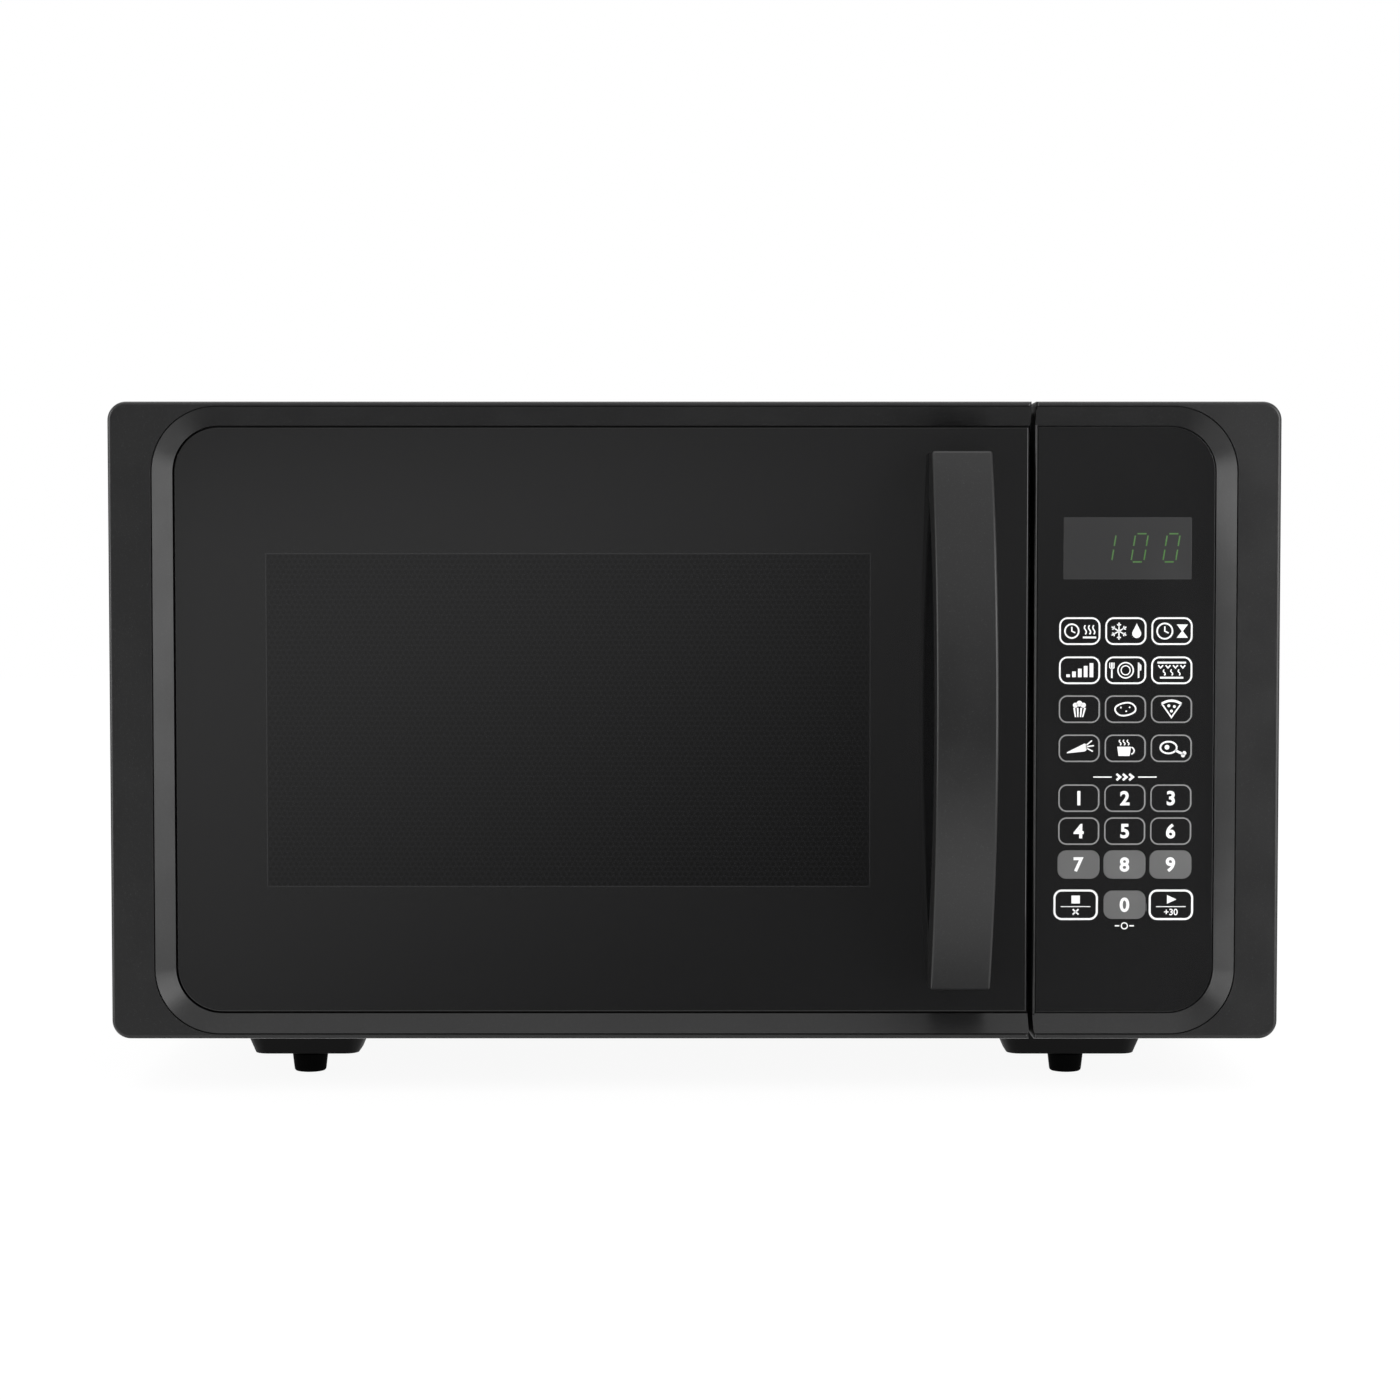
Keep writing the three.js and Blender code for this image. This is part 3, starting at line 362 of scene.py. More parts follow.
def window_glass(sizes, colours):
    """Black-backed glass with the perforated screen just showing through an oblong window, its holes painted
    darker as painted shade.
    """
    made = gloss_material("window_glass", colours.gloss, colours)
    window_low, window_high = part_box("inner_window")
    part = made.split(made.place)
    edge = 7.7 * MM  # how far the window lies inside the film's edge

    def inside(axis, low, high, margin, soft):
        up = made.ramp(part[axis], low - margin - soft, low - margin + soft)
        down = made.ramp(part[axis], high + margin - soft, high + margin + soft, 1.0, 0.0)
        return made.times(up, down)

    def oblong(margin, soft=0.12 * MM):
        across = inside("X", window_low.x + edge, window_high.x - edge, margin, soft)
        upright = inside("Z", window_low.z + edge, window_high.z - edge, margin, soft)
        return made.times(across, upright)

    window = oblong(0.0)
    border = made.math("SUBTRACT", oblong(0.35 * MM), window)
    holes = made.use("Hex Holes", Pitch=sizes.perforation_pitch, Radius=sizes.perforation_radius)["Hole"]
    # The screen's metal, with its holes painted darker: painted shade for the dark oven behind them.
    screen_and_hole_shade = made.mix(holes, scaled(colours.window, 1.7), scaled(colours.window, 0.4))
    # The black print, with a thin lighter line round the window's edge.
    black_and_window_line = made.mix(border, rgba(colours.gloss), scaled(colours.gloss, 3.2))
    made.set(Base_Color=made.mix(window, black_and_window_line, screen_and_hole_shade))
    return made.material


def enamel(name, base, scale=1400.0, roughness=0.42, strength=0.25):
    """Baked enamel or powder paint with a fine orange-peel texture."""
    made = Finish(name, IOR=1.5)
    grain = made.use("Fleck Grain", Scale=scale)
    dust = made.use("Settled Dust", Amount=0.006)["Dust"]
    shade = made.mix(grain["Mottle"], scaled(base, 0.92), scaled(base, 1.08))
    made.set(Base_Color=made.mix(dust, shade, (0.35, 0.34, 0.32, 1)))
    made.set(Roughness=made.ramp(grain["Fleck"], 0.0, 1.0, roughness, roughness + 0.05))
    made.bump(grain["Height"], strength, 0.06 * MM)
    return made


def screen_enamel(sizes, colours):
    """Black enamel with the microwave screen's holes in the window's middle, painted near-black as painted
    shade and dented a little.
    """
    made = enamel("screen_enamel", colours.enamel, roughness=0.35)
    low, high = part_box("inner_window")
    part = made.split(made.place)
    margin = 8 * MM
    hole = made.use("Hex Holes", Pitch=sizes.perforation_pitch, Radius=sizes.perforation_radius)["Hole"]
    for axis, a, b in (("X", low.x, high.x), ("Z", low.z, high.z)):
        for edge, side in ((a + margin, 1), (b - margin, -1)):
            hole = made.times(hole, made.math("GREATER_THAN", made.times(part[axis], side), edge * side))
    plain = made.shader.inputs["Base Color"].links[0].from_socket
    # The holes are painted near-black: painted shade for the dark space seen through them.
    made.set(Base_Color=made.mix(hole, plain, (0.0006, 0.0006, 0.0006, 1)))
    made.bump(made.times(hole, -1.0), 0.8, 0.4 * MM)
    return made.material


def galvanised():
    made = Finish("galvanised_steel", Metallic=1.0)
    zinc = made.use("Zinc Spangle", Scale=230.0)
    dust = made.use("Settled Dust", Amount=0.1)["Dust"]
    grey = made.mix(zinc["Value"], (0.44, 0.45, 0.47, 1), (0.54, 0.55, 0.57, 1))
    made.set(Base_Color=made.mix(dust, grey, (0.4, 0.39, 0.37, 1)))
    made.set(Roughness=made.ramp(zinc["Value"], 0.2, 0.9, 0.40, 0.50))
    made.bump(zinc["Height"], 0.05, 0.05 * MM)
    return made.material


def bright_steel():
    made = Finish("bright_steel", Metallic=1.0)
    streak = made.use("Drawn Streaks", Scale=1600.0)["Streak"]
    made.set(Base_Color=made.mix(streak, (0.50, 0.50, 0.51, 1), (0.66, 0.66, 0.67, 1)))
    made.set(Roughness=made.ramp(streak, 0.3, 0.7, 0.24, 0.38))
    made.bump(streak, 0.1, 0.02 * MM)
    return made.material


def moulded(name, base, roughness=0.5, scale=1800.0):
    """Plain moulded plastic or rubber with a fine eroded texture."""
    made = Finish(name, IOR=1.48)
    grain = made.use("Fleck Grain", Scale=scale)
    made.set(Base_Color=made.mix(grain["Mottle"], scaled(base, 0.85), scaled(base, 1.12)))
    made.set(Roughness=made.ramp(grain["Fleck"], 0.0, 1.0, roughness, roughness + 0.1))
    made.bump(grain["Height"], 0.2, 0.04 * MM)
    return made.material


def dull(material, level):
    """The material with its reflection at right angles turned down."""
    material.node_tree.nodes["Principled BSDF"].inputs["Specular IOR Level"].default_value = level
    return material


def mica():
    made = Finish("mica", IOR=1.55)
    zinc = made.use("Zinc Spangle", Scale=420.0)
    streak = made.use("Drawn Streaks", Scale=600.0)["Streak"]
    base = made.mix(zinc["Value"], (0.36, 0.30, 0.22, 1), (0.55, 0.49, 0.39, 1))
    made.set(Base_Color=made.mix(made.times(streak, 0.4), base, (0.62, 0.57, 0.47, 1)))
    made.set(Roughness=made.ramp(zinc["Value"], 0.1, 0.9, 0.3, 0.55))
    return made.material


def clear_glass(name, tint, roughness):
    made = Finish(name, IOR=1.5, Transmission_Weight=1.0)
    marks = made.use("Touch Marks", Base=roughness, Spread=0.03)
    made.set(Base_Color=made.mix(marks["Smear"], rgba(tint), scaled(tint, 0.96)))
    made.set(Roughness=marks["Roughness"])
    return made.material


def circuit_board():
    made = Finish("circuit_board", IOR=1.5)
    grain = made.use("Fleck Grain", Scale=500.0)
    zinc = made.use("Zinc Spangle", Scale=260.0)
    made.set(Base_Color=made.mix(zinc["Value"], (0.012, 0.055, 0.02, 1), (0.03, 0.11, 0.045, 1)))
    made.set(Roughness=made.ramp(grain["Mottle"], 0.3, 0.7, 0.3, 0.45))
    return made.material


def inked(name, base, roughness=0.32, painted_glow=0.0):
    """Screen-printed ink with a little unevenness, and an optional painted glow."""
    made = Finish(name, IOR=1.48)
    grain = made.use("Fleck Grain", Scale=1200.0)
    shade = made.mix(grain["Mottle"], scaled(base, 0.94), scaled(base, 1.04))
    made.set(Base_Color=shade)
    made.set(Roughness=made.ramp(grain["Mottle"], 0.3, 0.7, roughness - 0.04, roughness + 0.04))
    # A painted glow, for ink that is no lamp.
    if painted_glow:
        made.set(Emission_Color=shade, Emission_Strength=painted_glow)
    return made.material


RECIPES = {
    "satin_plastic": lambda s, c: satin_plastic(c),
    "window_glass": window_glass,
    "gloss_black": lambda s, c: gloss_material("gloss_black", c.gloss, c).material,
    "key_grey": lambda s, c: gloss_material("key_grey", c.key_grey, c).material,
    "print_white": lambda s, c: inked("print_white", c.print_white),
    "print_grey": lambda s, c: inked("print_grey", c.print_grey),
    "display_grey": lambda s, c: gloss_material("display_grey", c.display, c, 0.03).material,
    # The digits' small emission is a painted glow.
    "display_digit": lambda s, c: inked("display_digit", c.digit, 0.3, 0.05),
    "casing_enamel": lambda s, c: enamel("casing_enamel", c.enamel, roughness=0.4).material,
    "screen_enamel": screen_enamel,
    "cavity_paint": lambda s, c: enamel("cavity_paint", c.cavity, roughness=0.38, strength=0.15).material,
    "galvanised_steel": lambda s, c: galvanised(),
    "bright_steel": lambda s, c: bright_steel(),
    "black_plastic": lambda s, c: moulded("black_plastic", (0.012, 0.012, 0.0125), 0.42),
    "rubber": lambda s, c: dull(moulded("rubber", (0.0024, 0.0024, 0.0024), 0.75, 1200.0), 0.02),
    # The base plate's dull black paint is made darker than the casing's as painted shade under the oven.
    "underside_enamel_and_shade": lambda s, c: dull(
        enamel("underside_enamel_and_shade", c.underside_and_shade, roughness=0.6).material, 0.12
    ),
    "white_plastic": lambda s, c: moulded("white_plastic", (0.66, 0.65, 0.61), 0.45),
    "natural_plastic": lambda s, c: moulded("natural_plastic", (0.52, 0.48, 0.38), 0.48),
    "mica": lambda s, c: mica(),
    "clear_glass": lambda s, c: clear_glass("clear_glass", (0.90, 0.97, 0.94), 0.02),
    "window_film": lambda s, c: clear_glass("window_film", (0.93, 0.94, 0.94), 0.12),
    "circuit_board": lambda s, c: circuit_board(),
}


def finish_of(name):
    """The named finish, made from its recipe the first time."""
    scene = bpy.context.scene
    made = bpy.data.materials.get(OWN + name)
    return made or RECIPES[name](scene.oven_sizes, scene.oven_colours)


# ------------------------------------------------------------------------------------- mesh helpers


def arc(x, z, radius, start, end, steps):
    """Points on an arc, angles in degrees."""
    angles = [math.radians(start + (end - start) * i / steps) for i in range(steps + 1)]
    return [(x + radius * math.cos(a), z + radius * math.sin(a)) for a in angles]


def four(corners):
    """One radius for each corner, from one number or four."""
    return corners if isinstance(corners, (tuple, list)) else (corners,) * 4


def rounded(x0, x1, z0, z1, corners, steps=ARC_STEPS):
    """Outline of an oblong with round corners, anticlockwise from the low left one."""
    a, b, c, d = [max(r, TINY) for r in four(corners)]
    return [
        *arc(x0 + a, z0 + a, a, 180, 270, steps),
        *arc(x1 - b, z0 + b, b, 270, 360, steps),
        *arc(x1 - c, z1 - c, c, 0, 90, steps),
        *arc(x0 + d, z1 - d, d, 90, 180, steps),
    ]


def front_outline(low, high, inset, corners):
    """Outline of a box seen from the front, drawn in all round together with its corners."""
    radii = [r - inset for r in four(corners)]
    return rounded(low.x + inset, high.x - inset, low.z + inset, high.z - inset, radii)


def skin(bm, rings, slot=0, closed=False):
    """Quads between rings of equally many points, capped at both ends unless closed."""
    rows = [[bm.verts.new(p) for p in ring] for ring in rings]
    count = len(rows[0])
    faces = []
    for a, b in zip(rows, rows[1:] + rows[:1] if closed else rows[1:]):
        for i in range(count):
            j = (i + 1) % count
            faces.append(bm.faces.new((a[i], a[j], b[j], b[i])))
    if not closed:
        faces += [bm.faces.new(list(reversed(rows[0]))), bm.faces.new(rows[-1])]
    for face in faces:
        face.material_index = slot


def upright(outline, y):
    return [(x, y, z) for x, z in outline]


def level(outline, z):
    return [(x, y, z) for x, y in outline]


def prism(bm, outline, y0, y1, slot=0):
    """An outline in XZ, thick from y0 to y1."""
    skin(bm, [upright(outline, y0), upright(outline, y1)], slot)


def band(bm, outer, inner, y0, y1, slot=0):
    """The strip between two outlines of equally many points, thick from y0 to y1."""
    rings = [upright(outer, y0), upright(outer, y1), upright(inner, y1), upright(inner, y0)]
    skin(bm, rings, slot, closed=True)


def plate(bm, low, high, corners, edge, rows=4):
    """An upright plate with round corners whose front edge is rounded."""
    rings = []
    for i in range(rows + 1):
        t = math.radians(90 * i / rows)
        shape = front_outline(low, high, edge * (1 - math.sin(t)), corners)
        rings.append(upright(shape, low.y + edge * (1 - math.cos(t))))
    rings.append(upright(front_outline(low, high, 0, corners), high.y))
    skin(bm, rings)


def block(bm, low, high):
    """A box between two corners, for cutting with."""
    corners = [(low[0], low[2]), (high[0], low[2]), (high[0], high[2]), (low[0], high[2])]
    prism(bm, corners, low[1], high[1])


def new_mesh(name, build):
    """An object from a function that fills a bmesh."""
    bm = bmesh.new()
    build(bm)
    bmesh.ops.remove_doubles(bm, verts=bm.verts, dist=0.002 * MM)
    bmesh.ops.recalc_face_normals(bm, faces=bm.faces)
    mesh = bpy.data.meshes.new(name)
    bm.to_mesh(mesh)
    bm.free()
    piece = bpy.data.objects.new(name, mesh)
    bpy.context.scene.collection.objects.link(piece)
    return piece


def evaluated(piece):
    """The piece's mesh with its modifiers applied."""
    depsgraph = bpy.context.evaluated_depsgraph_get()
    return bpy.data.meshes.new_from_object(piece.evaluated_get(depsgraph))


def cut_away(piece, *cutters):
    """Cuts the cutters out of the piece for good, and deletes them."""
    for cutter in cutters:
        change = piece.modifiers.new("cut", "BOOLEAN")
        change.operation = "DIFFERENCE"
        change.solver = "EXACT"
        change.object = cutter
        mesh = evaluated(piece)
        piece.modifiers.clear()
        piece.data = mesh
        bpy.data.objects.remove(cutter)


def smooth(piece):
    """Smooth shading that keeps flat faces flat."""
    piece.data.polygons.foreach_set("use_smooth", [True] * len(piece.data.polygons))
    piece.modifiers.new("normals", "WEIGHTED_NORMAL").keep_sharp = True


def soften(piece, width, angle=35, segments=3):
    """Rounds the sharp edges and shades the piece smooth."""
    edge = piece.modifiers.new("soften", "BEVEL")
    edge.width = width
    edge.segments = segments
    edge.limit_method = "ANGLE"
    edge.angle_limit = math.radians(angle)
    edge.harden_normals = True
    smooth(piece)


def dress(piece, *finishes):
    """Gives the piece its finishes in the order of its faces' slots."""
    if piece.data.materials:
        piece.data.materials.clear()
    for name in finishes:
        piece.data.materials.append(finish_of(name))


def hand_over(piece, body, slot, *nodes):
    """The piece rides on a body and stands for CAD nodes; its slot is not used."""
    piece.data.name = piece.name
    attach(piece, body)
    if nodes:
        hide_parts(*nodes)


# ---------------------------------------------------------------------------------------- the front


def field_box(sizes):
    """The glossy field's outline, shared by the door and the control panel: x0, x1, z0, z1."""
    gap = sizes.field_gap
    right = FASCIA_HIGH.x + gap
    return -right, right, FASCIA_LOW.z - gap, FASCIA_HIGH.z + gap


def bevel_cutter(sizes):
    """What is cleared in front of the glossy field: wider by the bevel at the rim."""
    x0, x1, z0, z1 = field_box(sizes)
    wide = sizes.bevel_width
    trench = sizes.trench_width
    foot = RIM_Y + trench * (LIP_Y - RIM_Y) / wide
    bottom = foot + sizes.trench_depth

    def ring(grow, y):
        corner = sizes.field_corner + grow
        return upright(rounded(x0 - grow, x1 + grow, z0 - grow, z1 + grow, corner), y)

    def fill(bm):
        slope = [ring(wide - trench, bottom), ring(wide - trench, foot), ring(0, LIP_Y)]
        skin(bm, [ring(wide, RIM_Y - 3 * CLEAR), ring(wide, bottom), *slope])

    return new_mesh("bevel_cutter", fill)


def plate_cutter(name, x0, x1, z0, z1, y0, y1, corners=0.0):
    return new_mesh(name, lambda bm: prism(bm, rounded(x0, x1, z0, z1, corners), y0, y1))


def round_rear_corner(piece, corner):
    """Rounds the upright rear edge on the hinge side, so that the door clears the cabinet as it swings."""
    x, y = DOOR_LOW.x, DOOR_HIGH.y

    def fill(bm):
        outline = [(x - CLEAR, y + CLEAR), (x - CLEAR, y - corner)]
        outline += arc(x + corner, y - corner, corner, 180, 90, ARC_STEPS)
        outline += [(x + corner, y + CLEAR)]
        skin(bm, [level(outline, z) for z in (DOOR_LOW.z - CLEAR, DOOR_HIGH.z + CLEAR)])

    cut_away(piece, new_mesh("corner_cutter", fill))


class OVEN_OT_door_frame(bpy.types.Operator):
    """Moulded door frame with its sloping bevel, glass pocket and hinge notches"""

    bl_idname = "oven.door_frame"
    bl_label = "Door Frame"

    def execute(self, context):
        sizes = context.scene.oven_sizes
        corner, wall = sizes.front_corner, sizes.wall
        low, high = DOOR_LOW, DOOR_HIGH
        corners = (corner, TINY, TINY, corner)
        piece = new_mesh("door_surround", lambda bm: plate(bm, low, high, corners, sizes.front_edge))
        x0, _, z0, z1 = field_box(sizes)
        pocket = (sizes.field_corner, 0, 0, sizes.field_corner)
        pocket_y = GLASS_HIGH.y + 0.2 * MM
        hollow_y = pocket_y + 2.5 * MM
        stile, rail, latch_stile = 14 * MM, 9 * MM, 12 * MM
        hollow = (low.x + stile, high.x - wall, low.z + wall, high.z - wall)
        through = (x0 + rail, high.x - latch_stile, z0 + rail, z1 - rail)
        cut_away(
            piece,
            bevel_cutter(sizes),
            plate_cutter("pocket", x0, high.x + 5 * CLEAR, z0, z1, LIP_Y - CLEAR, pocket_y, pocket),
            plate_cutter("hollow", *hollow, hollow_y, high.y + CLEAR),
            plate_cutter("through", *through, pocket_y - CLEAR, hollow_y + CLEAR, 8 * MM),
        )
        round_rear_corner(piece, 9 * MM)
        self.hinge_notches(piece, low.x + stile)
        dress(piece, "satin_plastic")
        soften(piece, sizes.crisp_edge, segments=2)
        hand_over(piece, "door", "satin_frame", "door_frame")
        return {"FINISHED"}

    def hinge_notches(self, piece, inner_x):
        """Room for the leaf of each hinge and a little more on every side of it."""
        below, above, before = 1.6 * MM, 3.6 * MM, 2.4 * MM
        for name, up in (("hinge_lower", 1), ("hinge_upper", -1)):
            arm_low, arm_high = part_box(name)
            outer = arm_low.z if up > 0 else arm_high.z
            z0, z1 = sorted((outer - below * up, outer + above * up))
            y0, y1 = arm_low.y - before, DOOR_HIGH.y + CLEAR
            cut_away(piece, plate_cutter("notch", DOOR_LOW.x - CLEAR, inner_x + CLEAR, z0, z1, y0, y1))


class OVEN_OT_control_housing(bpy.types.Operator):
    """Moulded control housing that carries the door's bevel round the keypad"""

    bl_idname = "oven.control_housing"
    bl_label = "Control Housing"

    def execute(self, context):
        sizes = context.scene.oven_sizes
        corner, wall = sizes.front_corner, sizes.wall
        low, high = HOUSING_LOW, HOUSING_HIGH
        corners = (TINY, corner, corner, TINY)
        piece = new_mesh("control_surround", lambda bm: plate(bm, low, high, corners, sizes.front_edge))
        _, x1, z0, z1 = field_box(sizes)
        lip = FASCIA_LOW.x - 0.3 * MM
        pocket = (0, sizes.field_corner, sizes.field_corner, 0)
        pocket_y, hollow_y = LIP_Y + 1.6 * MM, LIP_Y + 4 * MM
        hollow = (low.x + wall, high.x - wall, low.z + wall, high.z - wall)
        room = 1 * MM
        board_low, board_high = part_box("control_board")
        board = (board_low.x - room, board_high.x + room, board_low.z - room, board_high.z + room)
        cut_away(
            piece,
            bevel_cutter(sizes),
            plate_cutter("pocket", lip, x1, z0, z1, LIP_Y - CLEAR, pocket_y, pocket),
            plate_cutter("hollow", *hollow, hollow_y, high.y + CLEAR, 4 * MM),
            plate_cutter("opening", *board, LIP_Y, hollow_y + CLEAR),
        )
        dress(piece, "satin_plastic")
        soften(piece, sizes.crisp_edge, segments=2)
        hand_over(piece, "cabinet", "satin_frame", "control_housing")
        self.bead(sizes, z0, z1)
        return {"FINISHED"}

    def bead(self, sizes, z0, z1):
        """A raised half-round bead that runs down the housing's edge beside the door."""
        r = sizes.seam_bead / 2
        x = HOUSING_LOW.x + r
        bulge, root, overrun = 1.3, 0.5 * MM, 0.3 * MM
        outline = [(x + dx, LIP_Y - bulge * dy) for dx, dy in arc(0, 0, r, 0, 180, 12)]
        outline += [(x - r, LIP_Y + root), (x + r, LIP_Y + root)]
        rings = [level(outline, z) for z in (z0 - overrun, z1 + overrun)]
        piece = new_mesh("seam_bead", lambda bm: skin(bm, rings))
        dress(piece, "satin_plastic")
        smooth(piece)
        hand_over(piece, "cabinet", "satin_frame")


class OVEN_OT_door_glass(bpy.types.Operator):
    """Gloss black glass with the window in it"""

    bl_idname = "oven.door_glass"
    bl_label = "Door Glass"

    def execute(self, context):
        sizes = context.scene.oven_sizes
        corner = sizes.field_corner - (GLASS_LOW.x - field_box(sizes)[0])
        corners = (corner, TINY, TINY, corner)
        piece = new_mesh("door_glass_pane", lambda bm: plate(bm, GLASS_LOW, GLASS_HIGH, corners, 0.4 * MM))
        dress(piece, "window_glass")
        smooth(piece)
        hand_over(piece, "door", "gloss_glass", "door_glass")
        return {"FINISHED"}


class OVEN_OT_handle(bpy.types.Operator):
    """Bowed pull handle with rounded long edges"""

    bl_idname = "oven.handle"
    bl_label = "Handle"

    def execute(self, context):
        sizes = context.scene.oven_sizes
        low, high = HANDLE_LOW, HANDLE_HIGH
        middle = (low.z + high.z) / 2
        half = (high.z - low.z) / 2
        end = high.y + 0.3 * MM - sizes.handle_end

        def bow(depth, reach):
            """Radius of the arc that stands depth out over reach either side."""
            return (reach * reach + depth * depth) / (2 * depth)

        outer = bow(end - low.y, half)
        inner_reach = half - sizes.handle_foot
        inner = bow(high.y - low.y - sizes.handle_thickness, inner_reach)
        steps = 40
        outer_angle = math.degrees(math.asin(half / outer))
        inner_angle = math.degrees(math.asin(inner_reach / inner))
        outline = [(high.y, middle - inner_reach), (high.y, low.z), (end, low.z)]
        outline += arc(low.y + outer, middle, outer, 180 + outer_angle, 180 - outer_angle, steps)[1:-1]
        outline += [(end, high.z), (high.y, high.z), (high.y, middle + inner_reach)]
        bar = low.y + sizes.handle_thickness
        outline += arc(bar + inner, middle, inner, 180 - inner_angle, 180 + inner_angle, steps)[1:-1]
        piece = new_mesh(
            "pull_handle",
            lambda bm: skin(bm, [[(x, y, z) for y, z in outline] for x in (low.x, high.x)]),
        )
        dress(piece, "satin_plastic")
        soften(piece, sizes.handle_edge, 30, 4)
        hand_over(piece, "door", "satin_frame", "handle")
        return {"FINISHED"}


# --------------------------------------------------------------------------------------- the keypad


def offset_line(points, width):
    """The outline of a stroke of even width along the points."""
    left, right = [], []
    for i, (x, z) in enumerate(points):
        before = Vector(points[max(i - 1, 0)])
        after = Vector(points[min(i + 1, len(points) - 1)])
        here = Vector((x, z))
        a = (here - before).normalized() if i else (after - here).normalized()
        b = (after - here).normalized() if i < len(points) - 1 else a
        bend = (a + b).normalized()
        across = Vector((-bend.y, bend.x))
        reach = width / 2 / max(0.4, across.dot(Vector((-a.y, a.x))))
        left.append(tuple(here + across * reach))
        right.append(tuple(here - across * reach))
    return left + right[::-1]


class Symbol:
    """Printed marks in millimetres about a key's middle."""

    def __init__(self):
        self.shapes = []
        self.rings = []

    def line(self, *points, width=0.55):
        self.shapes.append(offset_line(points, width))
        return self

    def fill(self, *points):
        self.shapes.append(list(points))
        return self

    def disc(self, x, z, radius):
        self.shapes.append(arc(x, z, radius, 0, 360, 24)[:-1])
        return self

    def ring(self, x, z, radius, width=0.55, flat=1.0):
        outer, inner = (
            [(px, z + (pz - z) * flat) for px, pz in arc(x, z, r, 0, 360, 32)[:-1]]
            for r in (radius + width / 2, radius - width / 2)
        )
        self.rings.append((outer, inner))
        return self

    def curve(self, x, z, radius, start, end, width=0.55):
        return self.line(*arc(x, z, radius, start, end, 16), width=width)

    def wave(self, x, z, tall, width=0.5):
        points = [(x + 0.38 * math.sin(2 * math.pi * i / 12), z + tall * i / 12) for i in range(13)]
        return self.line(*points, width=width)

    def into(self, bm, x, z, y, slot):
        def placed(points):
            return [(x + px * MM, z + pz * MM) for px, pz in points]

        for shape in self.shapes:
            prism(bm, placed(shape), y - PRINT, y + PRINT, slot)
        for outer, inner in self.rings:
            band(bm, placed(outer), placed(inner), y - PRINT, y + PRINT, slot)


SYMBOLS = {}


def symbol(draw):
    """Lists a function that draws a key's symbol, under the key's name."""
    SYMBOLS[draw.__name__] = draw
    return draw


def clock_face(mark, x, z, radius):
    mark.ring(x, z, radius, 0.6)
    mark.line((x, z + radius * 0.62), (x, z), (x + radius * 0.5, z - radius * 0.25), width=0.5)


@symbol
def cook_time(mark):
    clock_face(mark, -3.0, 0.0, 2.6)
    mark.line((1.2, -2.4), (6.2, -2.4), width=0.7)
    for x in (2.1, 3.7, 5.3):
        mark.wave(x, -1.2, 3.4)


@symbol
def defrost(mark):
    x = -2.6
    for i in range(6):
        a = math.radians(60 * i + 30)
        mark.line((x, 0), (x + 3.2 * math.cos(a), 3.2 * math.sin(a)), width=0.45)
        fork = (x + 1.9 * math.cos(a), 1.9 * math.sin(a))
        for b in (a - 0.8, a + 0.8):
            mark.line(fork, (fork[0] + math.cos(b), fork[1] + math.sin(b)), width=0.4)
    mark.fill(*arc(4.1, -0.9, 1.7, -215, 35, 18), (4.1, 2.9))


@symbol
def clock(mark):
    clock_face(mark, -2.7, 0.0, 2.9)
    mark.fill((1.8, 2.5), (6.0, 2.5), (4.1, 0), (6.0, -2.5), (1.8, -2.5), (3.7, 0))


@symbol
def power(mark):
    for i in range(5):
        x, top = -5.0 + 2.2 * i, -1.5 + 1.05 * i
        mark.fill((x, -2.6), (x + 1.4, -2.6), (x + 1.4, top), (x, top))


@symbol
def dinner_plate(mark):
    mark.ring(0, 0, 2.9, 0.5).ring(0, 0, 1.7, 0.4)
    for x in (-5.2, 4.9):
        mark.line((x, -2.9), (x, 2.9), width=0.6)
    for x in (-6.0, -4.4):
        mark.line((x, 2.9), (x, 1.0), (-5.2, 0.4), width=0.4)
    mark.fill((5.0, 2.9), (6.0, 1.8), (5.9, 0.0), (5.0, -0.2))


@symbol
def grill(mark):
    mark.line((-5.4, 2.9), (5.4, 2.9), width=0.7).line((-4.4, -2.8), (4.4, -2.8), width=0.7)
    for x in (-4.2, -1.4, 1.4, 4.2):
        mark.line((x - 0.9, 1.9), (x, 0.9), (x + 0.9, 1.9), width=0.5)
    for x in (-2.8, 0.0, 2.8):
        mark.wave(x, -1.9, 2.2, 0.45)


@symbol
def popcorn(mark):
    for x, z, r in ((-1.5, 1.5, 0.95), (0.0, 2.1, 1.1), (1.5, 1.5, 0.95)):
        mark.disc(x, z, r)
    for top, foot in ((-2.3, -1.5), (-1.0, -0.6), (0.4, 0.4), (1.8, 1.2)):
        mark.fill((top, 0.5), (top + 0.7, 0.5), (foot + 0.3, -3.0), (foot - 0.2, -3.0))


@symbol
def potato(mark):
    lumpy = [(x, z * (0.62 + 0.07 * math.sin(2 * math.atan2(z, x)))) for x, z in arc(0, 0, 3.9, 0, 360, 36)]
    mark.line(*lumpy, width=0.6)
    for x, z in ((-1.7, 0.6), (0.3, -0.8), (1.6, 0.7)):
        mark.disc(x, z, 0.32)


@symbol
def pizza(mark):
    mark.line((-3.6, 2.0), (0, -3.1), (3.6, 2.0)).curve(0, -3.1, 6.3, 54, 126, 0.9)
    for x, z in ((-1.0, 1.3), (1.1, 1.0), (0.0, -0.7)):
        mark.disc(x, z, 0.55)


@symbol
def vegetables(mark):
    mark.fill((-4.6, -1.9), *arc(1.5, 0.3, 1.6, -70, 70, 8), (-4.6, -1.5))
    for root, tip in (((2.6, 0.6), (5.6, 1.0)), ((2.5, 1.0), (4.8, 2.9)), ((2.6, 0.2), (5.2, -1.2))):
        mark.line(root, tip, width=0.5)


@symbol
def drinks(mark):
    mark.fill((-3.0, 0.6), (2.2, 0.6), (1.7, -2.9), (-2.5, -2.9)).curve(2.1, -0.9, 1.3, -80, 80, 0.5)
    for x in (-1.9, -0.4, 1.1):
        mark.wave(x, 1.2, 2.0, 0.4)


